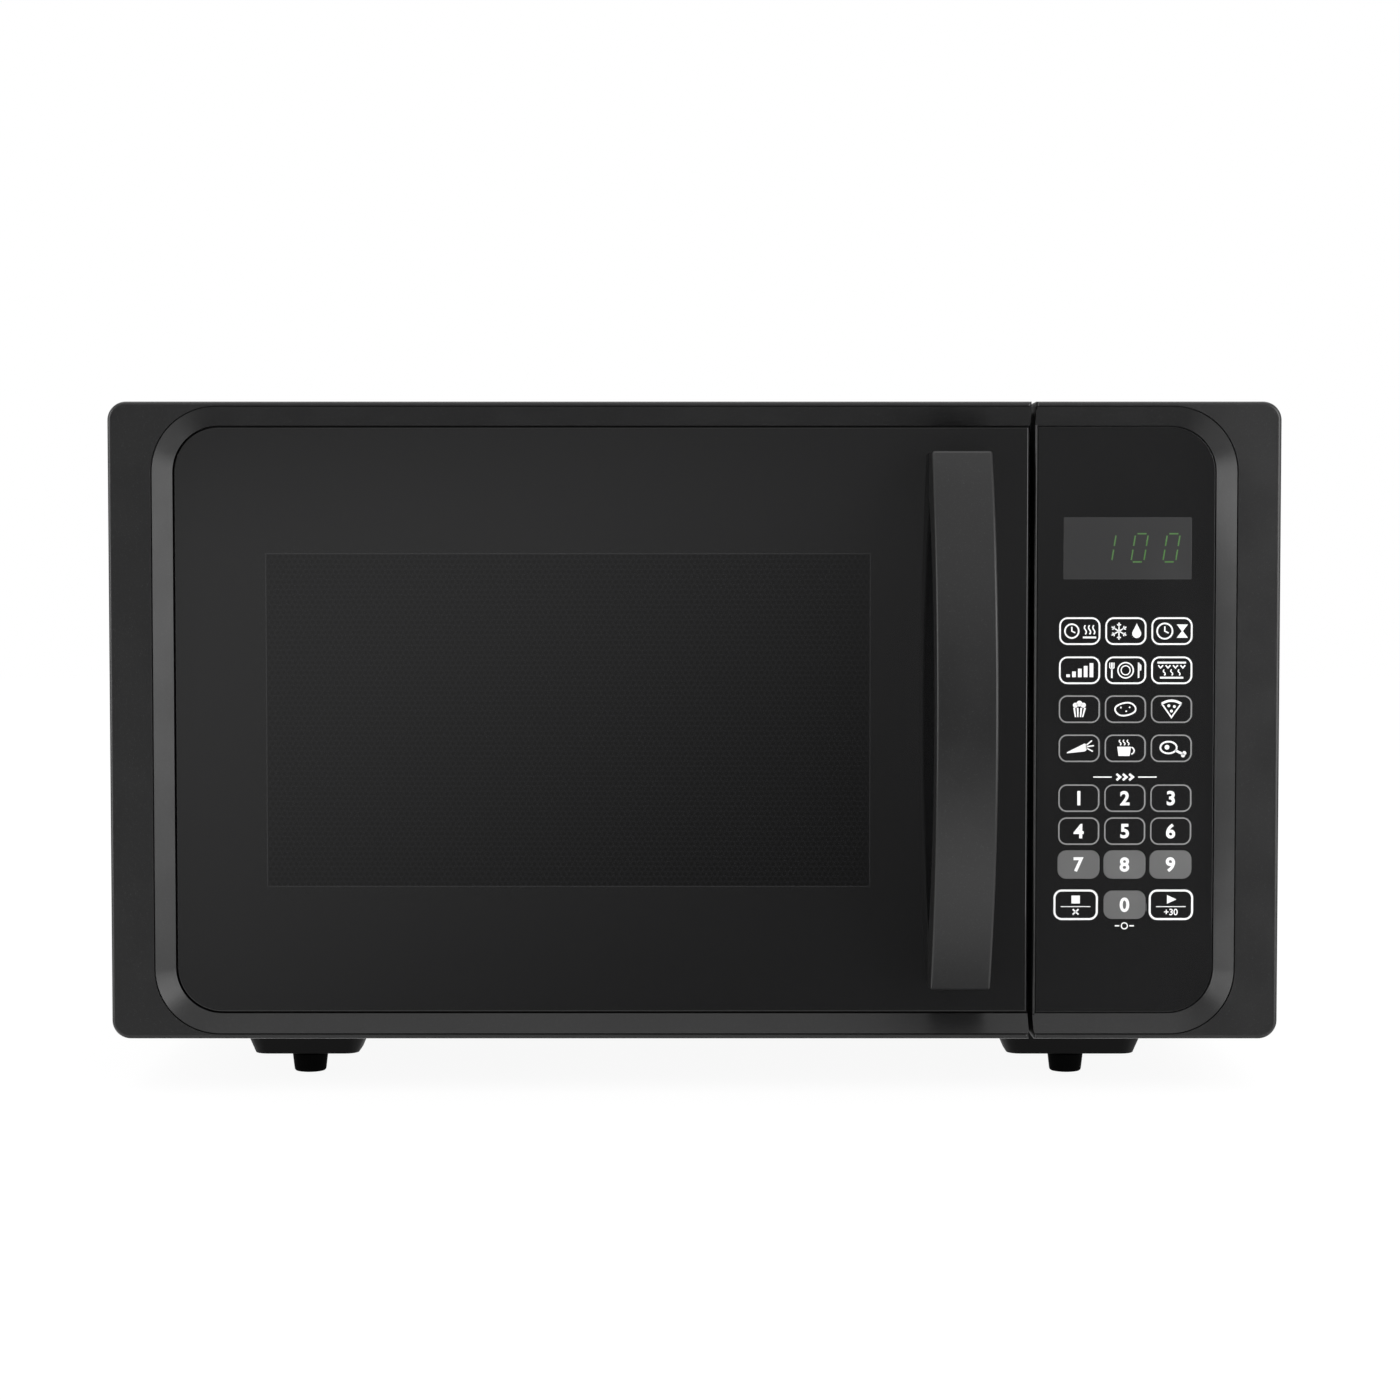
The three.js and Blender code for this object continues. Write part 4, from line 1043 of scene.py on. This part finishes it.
@symbol
def meat(mark):
    body = [(x, z * 0.72) for x, z in arc(-1.0, 0.4, 3.1, 0, 360, 30)]
    mark.line(*body, width=0.65).line((1.6, -0.8), (4.4, -2.2), width=0.9)
    for x, z, r in ((-1.6, 0.4, 0.9), (4.5, -2.7, 0.75), (5.0, -1.8, 0.75)):
        mark.disc(x, z, r)


def rule(mark):
    """The thin line that parts the two halves of a key."""
    mark.line((-5.6, -0.7), (5.6, -0.7), width=0.3)


@symbol
def stop(mark):
    rule(mark)
    mark.fill((-1.6, 0.5), (1.6, 0.5), (1.6, 3.5), (-1.6, 3.5))
    for rise in (-1, 1):
        mark.line((-1.1, -2.7 - rise), (1.1, -2.7 + rise), width=0.6)


@symbol
def start(mark):
    rule(mark)
    mark.fill((-1.5, 0.4), (2.1, 2.05), (-1.5, 3.7))


BRIGHT_OUTLINE = ("cook_time", "defrost", "clock", "power", "dinner_plate", "grill")
GREY_PADS = "7890"
OUTLINE_SLOT, MARK_SLOT = 1, 2  # a key's finishes after its pad's own


def lettering(bm, text, x, z, y, size, slot, weight=0.0):
    """Adds upright printed figures, centred on a point, to the mesh."""
    curve = bpy.data.curves.new("figures", "FONT")
    curve.body = text
    curve.size = size
    curve.offset = weight
    curve.extrude = PRINT
    curve.resolution_u = 4
    holder = bpy.data.objects.new("figures", curve)
    bpy.context.scene.collection.objects.link(holder)
    mesh = evaluated(holder)
    bpy.data.objects.remove(holder)
    across = [v.co.x for v in mesh.vertices]
    up = [v.co.y for v in mesh.vertices]
    centre = Vector((min(across) + max(across), min(up) + max(up), 0)) / 2
    stand = Matrix.Rotation(math.radians(90), 4, "X")
    mesh.transform(Matrix.Translation((x, y, z)) @ stand @ Matrix.Translation(-centre))
    for polygon in mesh.polygons:
        polygon.material_index = slot
    bm.from_mesh(mesh)
    bpy.data.meshes.remove(mesh)


class OVEN_OT_keys(bpy.types.Operator):
    """The touch keys, each with its outline and symbol or figure"""

    bl_idname = "oven.keys"
    bl_label = "Keys"

    def execute(self, context):
        for name in KEY_NAMES:
            self.key(name, context.scene.oven_sizes)
        return {"FINISHED"}

    def key(self, name, sizes):
        low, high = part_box(name)
        label = name.removeprefix("key_")
        x, y, z = (low.x + high.x) / 2, low.y, (low.z + high.z) / 2
        grey = label in GREY_PADS
        thick = label in ("stop", "start")
        bright = thick or label in BRIGHT_OUTLINE

        def fill(bm):
            plate(bm, low, high, sizes.key_corner, 0.12 * MM, rows=3)
            if not grey:
                wide = 0.75 * MM if thick else 0.62 * MM if bright else 0.5 * MM
                edge = 0.2 * MM
                outlines = [front_outline(low, high, e, sizes.key_corner) for e in (edge, edge + wide)]
                band(bm, *outlines, y - PRINT, y + PRINT, OUTLINE_SLOT)
            if label in SYMBOLS:
                mark = Symbol()
                SYMBOLS[label](mark)
                mark.into(bm, x, z, y, MARK_SLOT)
            else:
                lettering(bm, label, x, z, y, sizes.figure_height, MARK_SLOT, sizes.figure_weight)
            if label == "start":
                lettering(bm, "+30", x, z - 2.75 * MM, y, 3.4 * MM, MARK_SLOT, 0.05 * MM)

        piece = new_mesh("pad_" + label, fill)
        pad, outline = "key_grey" if grey else "gloss_black", "print_white" if bright else "print_grey"
        dress(piece, pad, outline, "print_white")
        hand_over(piece, name, "key_grey" if grey else "key_black", name)


class OVEN_OT_fascia(bpy.types.Operator):
    """Glossy keypad fascia with an opening for each key, its heading marks and the display"""

    bl_idname = "oven.fascia"
    bl_label = "Fascia and Display"

    def execute(self, context):
        sizes = context.scene.oven_sizes
        low, high = FASCIA_LOW, FASCIA_HIGH
        corner = sizes.field_corner - sizes.field_gap
        corners = (TINY, corner, corner, TINY)
        piece = new_mesh("keypad_fascia", lambda bm: plate(bm, low, high, corners, 0.15 * MM))
        gap = 0.14 * MM

        def openings(bm):
            for name in KEY_NAMES:
                hole = front_outline(*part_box(name), -gap, sizes.key_corner)
                prism(bm, hole, low.y - CLEAR, high.y + CLEAR)

        cut_away(piece, new_mesh("key_openings", openings))
        dress(piece, "gloss_black")
        smooth(piece)
        hand_over(piece, "cabinet", "gloss_fascia", "control_fascia")
        self.marks()
        self.display()
        return {"FINISHED"}

    def marks(self):
        """A row of quick-cook chevrons over the digits and a small card sign under the 0."""
        above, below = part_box("key_2"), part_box("key_0")
        away = 2.6 * MM

        def fill(bm):
            chevrons, card = Symbol(), Symbol().ring(0, 0, 1.15, 0.4)
            for side in (-1, 1):
                chevrons.line((side * 12.0, 0), (side * 5.0, 0), width=0.45)
                card.line((side * 1.9, 0), (side * 3.6, 0), width=0.5)
            for x in (-2.4, 0.0, 2.4):
                chevrons.line((x - 0.8, 1.15), (x + 0.6, 0), (x - 0.8, -1.15), width=0.85)
            chevrons.into(bm, (above[0].x + above[1].x) / 2, above[1].z + away, FASCIA_LOW.y, 0)
            card.into(bm, (below[0].x + below[1].x) / 2, below[0].z - away, FASCIA_LOW.y, 0)

        piece = new_mesh("keypad_marks", fill)
        dress(piece, "print_white")
        hand_over(piece, "cabinet", "gloss_fascia")

    def display(self):
        """The grey window, and slanted seven-segment figures that read 1 0 0."""
        x0, x1, z0, z1 = DISPLAY_BOX
        relief = 0.1 * MM
        y = FASCIA_LOW.y
        low, high = Vector((x0, y - relief, z0)), Vector((x1, y + relief, z1))
        window = new_mesh("display_window", lambda bm: plate(bm, low, high, 0.3 * MM, 0.08 * MM, rows=2))
        dress(window, "display_grey")
        smooth(window)
        hand_over(window, "cabinet", "gloss_fascia")
        segments = new_mesh("display_figures", lambda bm: self.figures(bm, low))
        dress(segments, "display_digit")
        hand_over(segments, "cabinet", "gloss_fascia")

    def figures(self, bm, corner):
        """The lit segments, placed in millimetres from the window's lower left corner."""
        half, tall, slant = 2.4, 5.3, 0.16
        middle, gap, stroke = 11.9, 0.7, 0.5
        lit = {"1": "bc", "0": "abcdef"}
        ends = {
            "a": ((-half, tall), (half, tall)),
            "b": ((half, tall), (half, 0)),
            "c": ((half, 0), (half, -tall)),
            "d": ((-half, -tall), (half, -tall)),
            "e": ((-half, 0), (-half, -tall)),
            "f": ((-half, tall), (-half, 0)),
        }
        for text, x in (("1", 16.6), ("0", 28.7), ("0", 40.7)):
            for name in lit[text]:
                a, b = (Vector(end) for end in ends[name])
                run = (b - a).normalized() * gap
                slanted = [(x + p.x + p.y * slant, middle + p.y) for p in (a + run, b - run)]
                segment = Symbol().line(*slanted, width=stroke)
                segment.into(bm, corner.x, corner.z, corner.y, 0)


# -------------------------------------------------------------------------------------- the cabinet


def steps_of(count, pitch, middle):
    """Evenly spaced places on both sides of a middle."""
    return [middle + (i - (count - 1) / 2) * pitch for i in range(count)]


class OVEN_OT_casing(bpy.types.Operator):
    """Folded steel casing with its air slots"""

    bl_idname = "oven.casing"
    bl_label = "Casing"

    def execute(self, context):
        sizes = context.scene.oven_sizes
        low, high = CASING_LOW, CASING_HIGH
        corner, sheet = sizes.casing_corner, sizes.sheet
        left, right, centre_z = low.x + corner, high.x - corner, high.z - corner
        bend = corner - sheet
        outline = [(high.x, low.z), *arc(right, centre_z, corner, 0, 90, 12)]
        outline += [*arc(left, centre_z, corner, 90, 180, 12), (low.x, low.z), (low.x + sheet, low.z)]
        outline += [*arc(left, centre_z, bend, 180, 90, 12), *arc(right, centre_z, bend, 90, 0, 12)]
        outline += [(high.x - sheet, low.z)]
        piece = new_mesh("casing_wrap", lambda bm: prism(bm, outline, low.y, high.y))
        slot_length, slot_height, step, pitch = 16 * MM, 3 * MM, 22 * MM, 7 * MM
        through = 3 * MM

        def slots(bm):
            for side, middle_y, middle_z in ((high.x, 130 * MM, 120 * MM), (low.x, 120 * MM, 205 * MM)):
                for y in steps_of(3, step, middle_y):
                    for z in steps_of(6, pitch, middle_z):
                        corner_low = (side - through, y - slot_length / 2, z)
                        block(bm, corner_low, (side + through, y + slot_length / 2, z + slot_height))

        cut_away(piece, new_mesh("slot_cutter", slots))
        dress(piece, "casing_enamel")
        soften(piece, 0.25 * MM, segments=2)
        hand_over(piece, "cabinet", "casing_paint", "outer_casing")
        return {"FINISHED"}


def turned(bm, profile, centre, axis="Z", sides=48):
    """A solid of revolution about Z or Y, from (radius, height) pairs that start and end near the axis."""
    turn = Matrix.Rotation(math.radians(90), 3, "X") if axis == "Y" else Matrix.Identity(3)
    angles = [2 * math.pi * i / sides for i in range(sides)]
    rings = []
    for r, height in profile:
        circle = [Vector((r * math.cos(a), r * math.sin(a), height)) for a in angles]
        rings.append([turn @ point + Vector(centre) for point in circle])
    skin(bm, rings)


class OVEN_OT_feet(bpy.types.Operator):
    """Two turned rubber feet under the front"""

    bl_idname = "oven.feet"
    bl_label = "Feet"

    def execute(self, context):
        for name in ("foot_left", "foot_right"):
            low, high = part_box(name)
            middle = (low + high) / 2
            centre = (middle.x, middle.y, 0)
            top, r = high.z, (high.x - low.x) / 2
            profile = [
                (r * 0.02, 0),
                (r * 0.72, 0),
                (r * 0.80, 0.12 * MM),
                (r * 0.86, 0.5 * MM),
                (r * 0.88, 1.1 * MM),
                (r * 0.97, top - 0.6 * MM),
                (r * 0.96, top - 0.15 * MM),
                (r * 0.92, top),
                (r * 0.02, top),
            ]
            piece = new_mesh("rubber_" + name, lambda bm: turned(bm, profile, centre))
            dress(piece, "rubber")
            smooth(piece)
            hand_over(piece, "cabinet", "rubber", name)
        return {"FINISHED"}


class OVEN_OT_screws(bpy.types.Operator):
    """Pan-head screws round the rear panel and on the casing's sides"""

    bl_idname = "oven.screws"
    bl_label = "Screws"

    def execute(self, context):
        places = [(x * MM, CASING_HIGH.z - 8 * MM) for x in (-190, -64, 64, 190)]
        places += [(x * MM, CASING_LOW.z + 9 * MM) for x in (-200, -64, 64)]
        places += [(side * 206 * MM, 168 * MM) for side in (-1, 1)]
        y = REAR_Y
        neck, shank, head, rim, crown, axis = 2.2, 1.9, 3.4, 0.9, 1.0, 0.05  # millimetres
        sunk = 0.1
        dome = [(math.radians(a), head, crown) for a in (20, 40, 60, 75)]
        profile = [(axis, -neck), (shank, -neck), (shank, sunk), (head, sunk), (head, rim)]
        profile += [(r * math.cos(a), rim + h * math.sin(a)) for a, r, h in dome]
        profile += [(axis, rim + crown)]

        def recess(wide, tall):
            """A cutter with one bar of the cross recess for each screw."""
            w, t = wide * MM / 2, tall * MM / 2

            def fill(bm):
                for x, z in places:
                    block(bm, (x - w, y + 0.7 * MM, z - t), (x + w, y + 3 * MM, z + t))

            return new_mesh("recess_cutter", fill)

        def heads(bm):
            for x, z in places:
                turned(bm, [(r * MM, -h * MM) for r, h in profile], (x, y, z), "Y", 28)

        piece = new_mesh("rear_screws", heads)
        cut_away(piece, recess(3.6, 0.8), recess(0.8, 3.6))
        dress(piece, "bright_steel")
        soften(piece, 0.08 * MM, segments=2)
        hand_over(piece, "cabinet", "bright_steel")
        return {"FINISHED"}


# ------------------------------------------------------------------------------------- the interior


class OVEN_OT_turntable(bpy.types.Operator):
    """Pressed glass turntable with its rim, foot ring and driving lugs"""

    bl_idname = "oven.turntable"
    bl_label = "Turntable"

    def execute(self, context):
        low, high = TRAY_LOW, TRAY_HIGH
        centre = ((low.x + high.x) / 2, (low.y + high.y) / 2)
        base = high.z - 15 * MM
        lug_radius = 13  # millimetres, as are the dish's radii and heights
        dish = [
            (0.3, 0), (40, 0), (41, -0.6), (43, -0.6), (44, 0), (108, 0), (112, 1.0), (116, 3.0),
            (119, 5.2), (123.5, 10), (126.6, 13.0), (127.4, 13.8), (127.3, 14.5), (126.6, 15),
            (125.2, 14.9), (123.6, 14.2), (120, 10.4), (116, 7.6), (111, 5.6), (106, 4.6),
            (60, 4.5), (58.5, 4.9), (57, 4.5), (30, 4.5), (0.3, 4.5),
        ]

        def fill(bm):
            turned(bm, [(r * MM, h * MM) for r, h in dish], (*centre, base), sides=128)
            for angle in (60, 180, 300):
                turn = Matrix.Rotation(math.radians(angle), 3, "Z")
                rings = []
                for half, z in ((2.6, low.z), (3.1, low.z + 0.6 * MM), (3.6, base + 0.2 * MM)):
                    lug = rounded(lug_radius - half, lug_radius + half, -half, half, 1.2, 5)
                    spread = [turn @ Vector((px * MM, py * MM, 0)) for px, py in lug]
                    rings.append([(centre[0] + p.x, centre[1] + p.y, z) for p in spread])
                skin(bm, rings)

        piece = new_mesh("glass_dish", fill)
        dress(piece, "clear_glass")
        smooth(piece)
        hand_over(piece, "tray", "clear_glass", "glass_turntable")
        return {"FINISHED"}


class OVEN_OT_heating_rod(bpy.types.Operator):
    """Sheathed grill element, bent to a hairpin under the ceiling"""

    bl_idname = "oven.heating_rod"
    bl_label = "Heating Rod"

    def execute(self, context):
        low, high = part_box("grill_element")
        r = (high.z - low.z) / 2
        z = (high.z + low.z) / 2
        bend = 26 * MM
        left, front, back = low.x + r, low.y + r, high.y - r
        path = [(high.x, front)]
        path += arc(left + bend, front + bend, bend, 270, 180, 20)
        path += arc(left + bend, back - bend, bend, 180, 90, 20)
        path += [(high.x, back)]
        sides = 16

        def fill(bm):
            rings = []
            for i, (x, y) in enumerate(path):
                ahead = Vector(path[min(i + 1, len(path) - 1)]) - Vector(path[max(i - 1, 0)])
                across = Vector((-ahead.y, ahead.x)).normalized()
                circle = [2 * math.pi * k / sides for k in range(sides)]
                reach = [(r * math.cos(a), z + r * math.sin(a)) for a in circle]
                rings.append([(x + across.x * out, y + across.y * out, up) for out, up in reach])
            skin(bm, rings)

        piece = new_mesh("heating_rod", fill)
        dress(piece, "bright_steel")
        smooth(piece)
        hand_over(piece, "cabinet", "bright_steel", "grill_element")
        return {"FINISHED"}


KEPT = {  # the pieces that take each finish, and the rounding of each one's edges in millimetres
    # The base plate's darker paint is partly painted shade.
    "underside_enamel_and_shade": {"base_plate": 0.3},
    "galvanised_steel": {
        "rear_panel": 0.15, "magnetron": 0.15, "hv_transformer": 0.5, "fan_motor": 0.3, "turntable_motor": 0.3
    },
    "rubber": {"cord_gland": 0.3},
    "cavity_paint": {"cavity_front_plate": 0.2, "cavity_shell": 0.15},
    "mica": {"waveguide_cover": 0.15},
    "bright_steel": {"hinge_lower": 0.2, "hinge_upper": 0.2, "hv_capacitor": 0.4},
    "circuit_board": {"control_board": 0.1},
    "natural_plastic": {"fan_impeller": 0.2, "drive_coupler": 0.4, "roller_ring": 0.5, "latch_hooks": 0.3},
    "white_plastic": {
        "oven_lamp": 0.3, "interlock_bracket": 0.3, "roller_wheel_1": 0.4,
        "roller_wheel_2": 0.4, "roller_wheel_3": 0.4
    },
    "screen_enamel": {"door_inner_panel": 0.2},
    "black_plastic": {"choke_cover": 0.3},
    "window_film": {"inner_window": 0.1},
}


class OVEN_OT_kept_parts(bpy.types.Operator):
    """Finishes and soft edges for the frame's own parts that stay as they are"""

    bl_idname = "oven.kept_parts"
    bl_label = "Kept Parts"

    def execute(self, context):
        for finish, pieces in KEPT.items():
            for name, width in pieces.items():
                self.refine(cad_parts[name], finish, width * MM)
        return {"FINISHED"}

    def refine(self, part, finish, width):
        """Clears the faceting's own normals and coplanar edges before the edges are rounded."""
        dress(part, finish)
        normals = part.data.attributes.get("custom_normal")
        if normals:
            part.data.attributes.remove(normals)
        part.modifiers.new("weld", "WELD").merge_threshold = 0.002 * MM
        flat = part.modifiers.new("flat", "DECIMATE")
        flat.decimate_type = "DISSOLVE"
        flat.angle_limit = math.radians(1)
        soften(part, width, 40, 2)


# -------------------------------------------------------------------------------------------- stage


def aim(thing, target):
    """Turns a light or the camera to look at the target."""
    thing.rotation_euler = (Vector(target) - thing.location).to_track_quat("-Z", "Y").to_euler()


def softbox(name, place, target, wide, tall, power):
    light = bpy.data.lights.new(name, "AREA")
    light.shape = "RECTANGLE"
    light.size = wide
    light.size_y = tall
    light.energy = power
    holder = bpy.data.objects.new(name, light)
    holder.location = place
    aim(holder, target)
    holder.visible_camera = False
    bpy.context.scene.collection.objects.link(holder)


def studio_air(scene):
    """White to the eye; to the object, a soft room that is brighter below, above and towards the left."""
    world = bpy.data.worlds.new("studio")
    scene.world = world
    world.use_nodes = True
    tree = Tree(world.node_tree)
    world.node_tree.nodes.clear()
    view = tree.add("ShaderNodeTexCoord").outputs["Generated"]
    part = tree.split(view)
    below = tree.ramp(part["Z"], -0.55, -0.13, 1.45, 0.0)
    nadir = tree.ramp(part["Z"], -0.97, -0.74, -1.4, 0.0)
    above = tree.ramp(part["Z"], 0.05, 0.60, 0.0, 0.65)
    slope = tree.math("SUBTRACT", part["Z"], tree.times(part["X"], 0.8))
    towards_left = tree.ramp(slope, -0.17, 0.13, 0.13, 0.45)
    front = tree.times(towards_left, tree.ramp(part["Z"], 0.0, 0.07, 1.0, 0.65))
    behind = tree.ramp(part["Y"], -0.2, 0.7, 0.0, 0.5)
    room = tree.add("ShaderNodeBackground", {"Strength": tree.plus(below, nadir, above, front, behind)})
    white = tree.add("ShaderNodeBackground", {"Strength": 1.0, "Color": WHITE})
    seen = tree.add("ShaderNodeLightPath").outputs["Is Camera Ray"]
    both = tree.add("ShaderNodeMixShader", {0: seen, 1: room.outputs[0], 2: white.outputs[0]})
    tree.add("ShaderNodeOutputWorld", {"Surface": both.outputs[0]})


def pale_floor():
    """A pale floor that stays out of the object's reflections."""
    size = 4.0
    corners = ((-size, -size, 0), (size, -size, 0), (size, size, 0), (-size, size, 0))
    floor = new_mesh("floor", lambda bm: bm.faces.new([bm.verts.new(p) for p in corners]))
    made = Finish("pale_floor", IOR=1.4, Roughness=0.9)
    grain = made.use("Fleck Grain", Scale=60.0)
    made.set(Base_Color=made.mix(grain["Mottle"], (0.93, 0.93, 0.93, 1), (0.96, 0.96, 0.96, 1)))
    made.set(Emission_Color=WHITE, Emission_Strength=0.3)
    seen = made.add("ShaderNodeLightPath").outputs["Is Camera Ray"]
    white = made.add("ShaderNodeEmission", {"Color": WHITE, "Strength": 1.0}).outputs[0]
    share = made.times(seen, 0.9)
    both = made.add("ShaderNodeMixShader", {0: share, 1: made.shader.outputs[0], 2: white})
    made.tree.links.new(both.outputs[0], made.tree.nodes["Material Output"].inputs["Surface"])
    floor.data.materials.append(made.material)
    floor.visible_glossy = False
    floor.location.z = -0.3 * MM


class OVEN_OT_stage(bpy.types.Operator):
    """Pale floor, soft light and the camera"""

    bl_idname = "oven.stage"
    bl_label = "Stage"

    def execute(self, context):
        scene = context.scene
        studio_air(scene)
        pale_floor()
        middle, panel = (0, RIM_Y, 0.13), (0.2, RIM_Y, 0.13)
        softbox("left_softbox", (-1.4, -0.75, 0.35), middle, 0.7, 1.1, 11.0)
        softbox("right_softbox", (0.95, -0.55, 0.30), panel, 0.5, 0.9, 4.2)
        softbox("near_softbox", (0.70, -0.80, 0.30), panel, 0.3, 0.7, 3.0)
        softbox("overhead_softbox", (0, 0.1, 1.5), (0, 0, 0.2), 1.8, 1.4, 7.0)
        scene.view_settings.view_transform = "Standard"
        scene.view_settings.look = "None"
        self.camera(scene)
        return {"FINISHED"}

    def camera(self, scene):
        """A long lens a little above the front's middle, looking slightly down at it."""
        lens, sensor, distance, pitch = 78.78, 36, 1150 * MM, math.radians(2.55)
        target = Vector((2.07 * MM, RIM_Y, DOOR_LOW.z + 128.15 * MM))
        camera = bpy.data.cameras.new("camera")
        camera.lens = lens
        camera.sensor_width = sensor
        holder = bpy.data.objects.new("camera", camera)
        holder.location = target + Vector((0, -distance, distance * math.tan(pitch)))
        aim(holder, target)
        scene.collection.objects.link(holder)
        scene.camera = holder


class OVEN_PT_panel(bpy.types.Panel):
    """Lists the oven's operators and its sizes and colours"""

    bl_label = "Microwave Oven"
    bl_idname = "OVEN_PT_panel"
    bl_space_type = "VIEW_3D"
    bl_region_type = "UI"
    bl_category = "Oven"

    def draw(self, context):
        for operator in OPERATORS:
            self.layout.operator(operator.bl_idname)
        for settings in (context.scene.oven_sizes, context.scene.oven_colours):
            box = self.layout.box()
            for name in settings.__annotations__:
                box.prop(settings, name)


OPERATORS = (
    OVEN_OT_stage,
    OVEN_OT_door_frame,
    OVEN_OT_control_housing,
    OVEN_OT_door_glass,
    OVEN_OT_handle,
    OVEN_OT_fascia,
    OVEN_OT_keys,
    OVEN_OT_casing,
    OVEN_OT_feet,
    OVEN_OT_screws,
    OVEN_OT_turntable,
    OVEN_OT_heating_rod,
    OVEN_OT_kept_parts,
)
CLASSES = (OvenSizes, OvenColours, *OPERATORS, OVEN_PT_panel)


def register():
    for cls in CLASSES:
        bpy.utils.register_class(cls)
    bpy.types.Scene.oven_sizes = bpy.props.PointerProperty(type=OvenSizes)
    bpy.types.Scene.oven_colours = bpy.props.PointerProperty(type=OvenColours)


def unregister():
    del bpy.types.Scene.oven_sizes
    del bpy.types.Scene.oven_colours
    for cls in reversed(CLASSES):
        bpy.utils.unregister_class(cls)


def main():
    register()
    for operator in OPERATORS:
        group, name = operator.bl_idname.split(".")
        getattr(getattr(bpy.ops, group), name)()


if __name__ == "__main__":
    main()
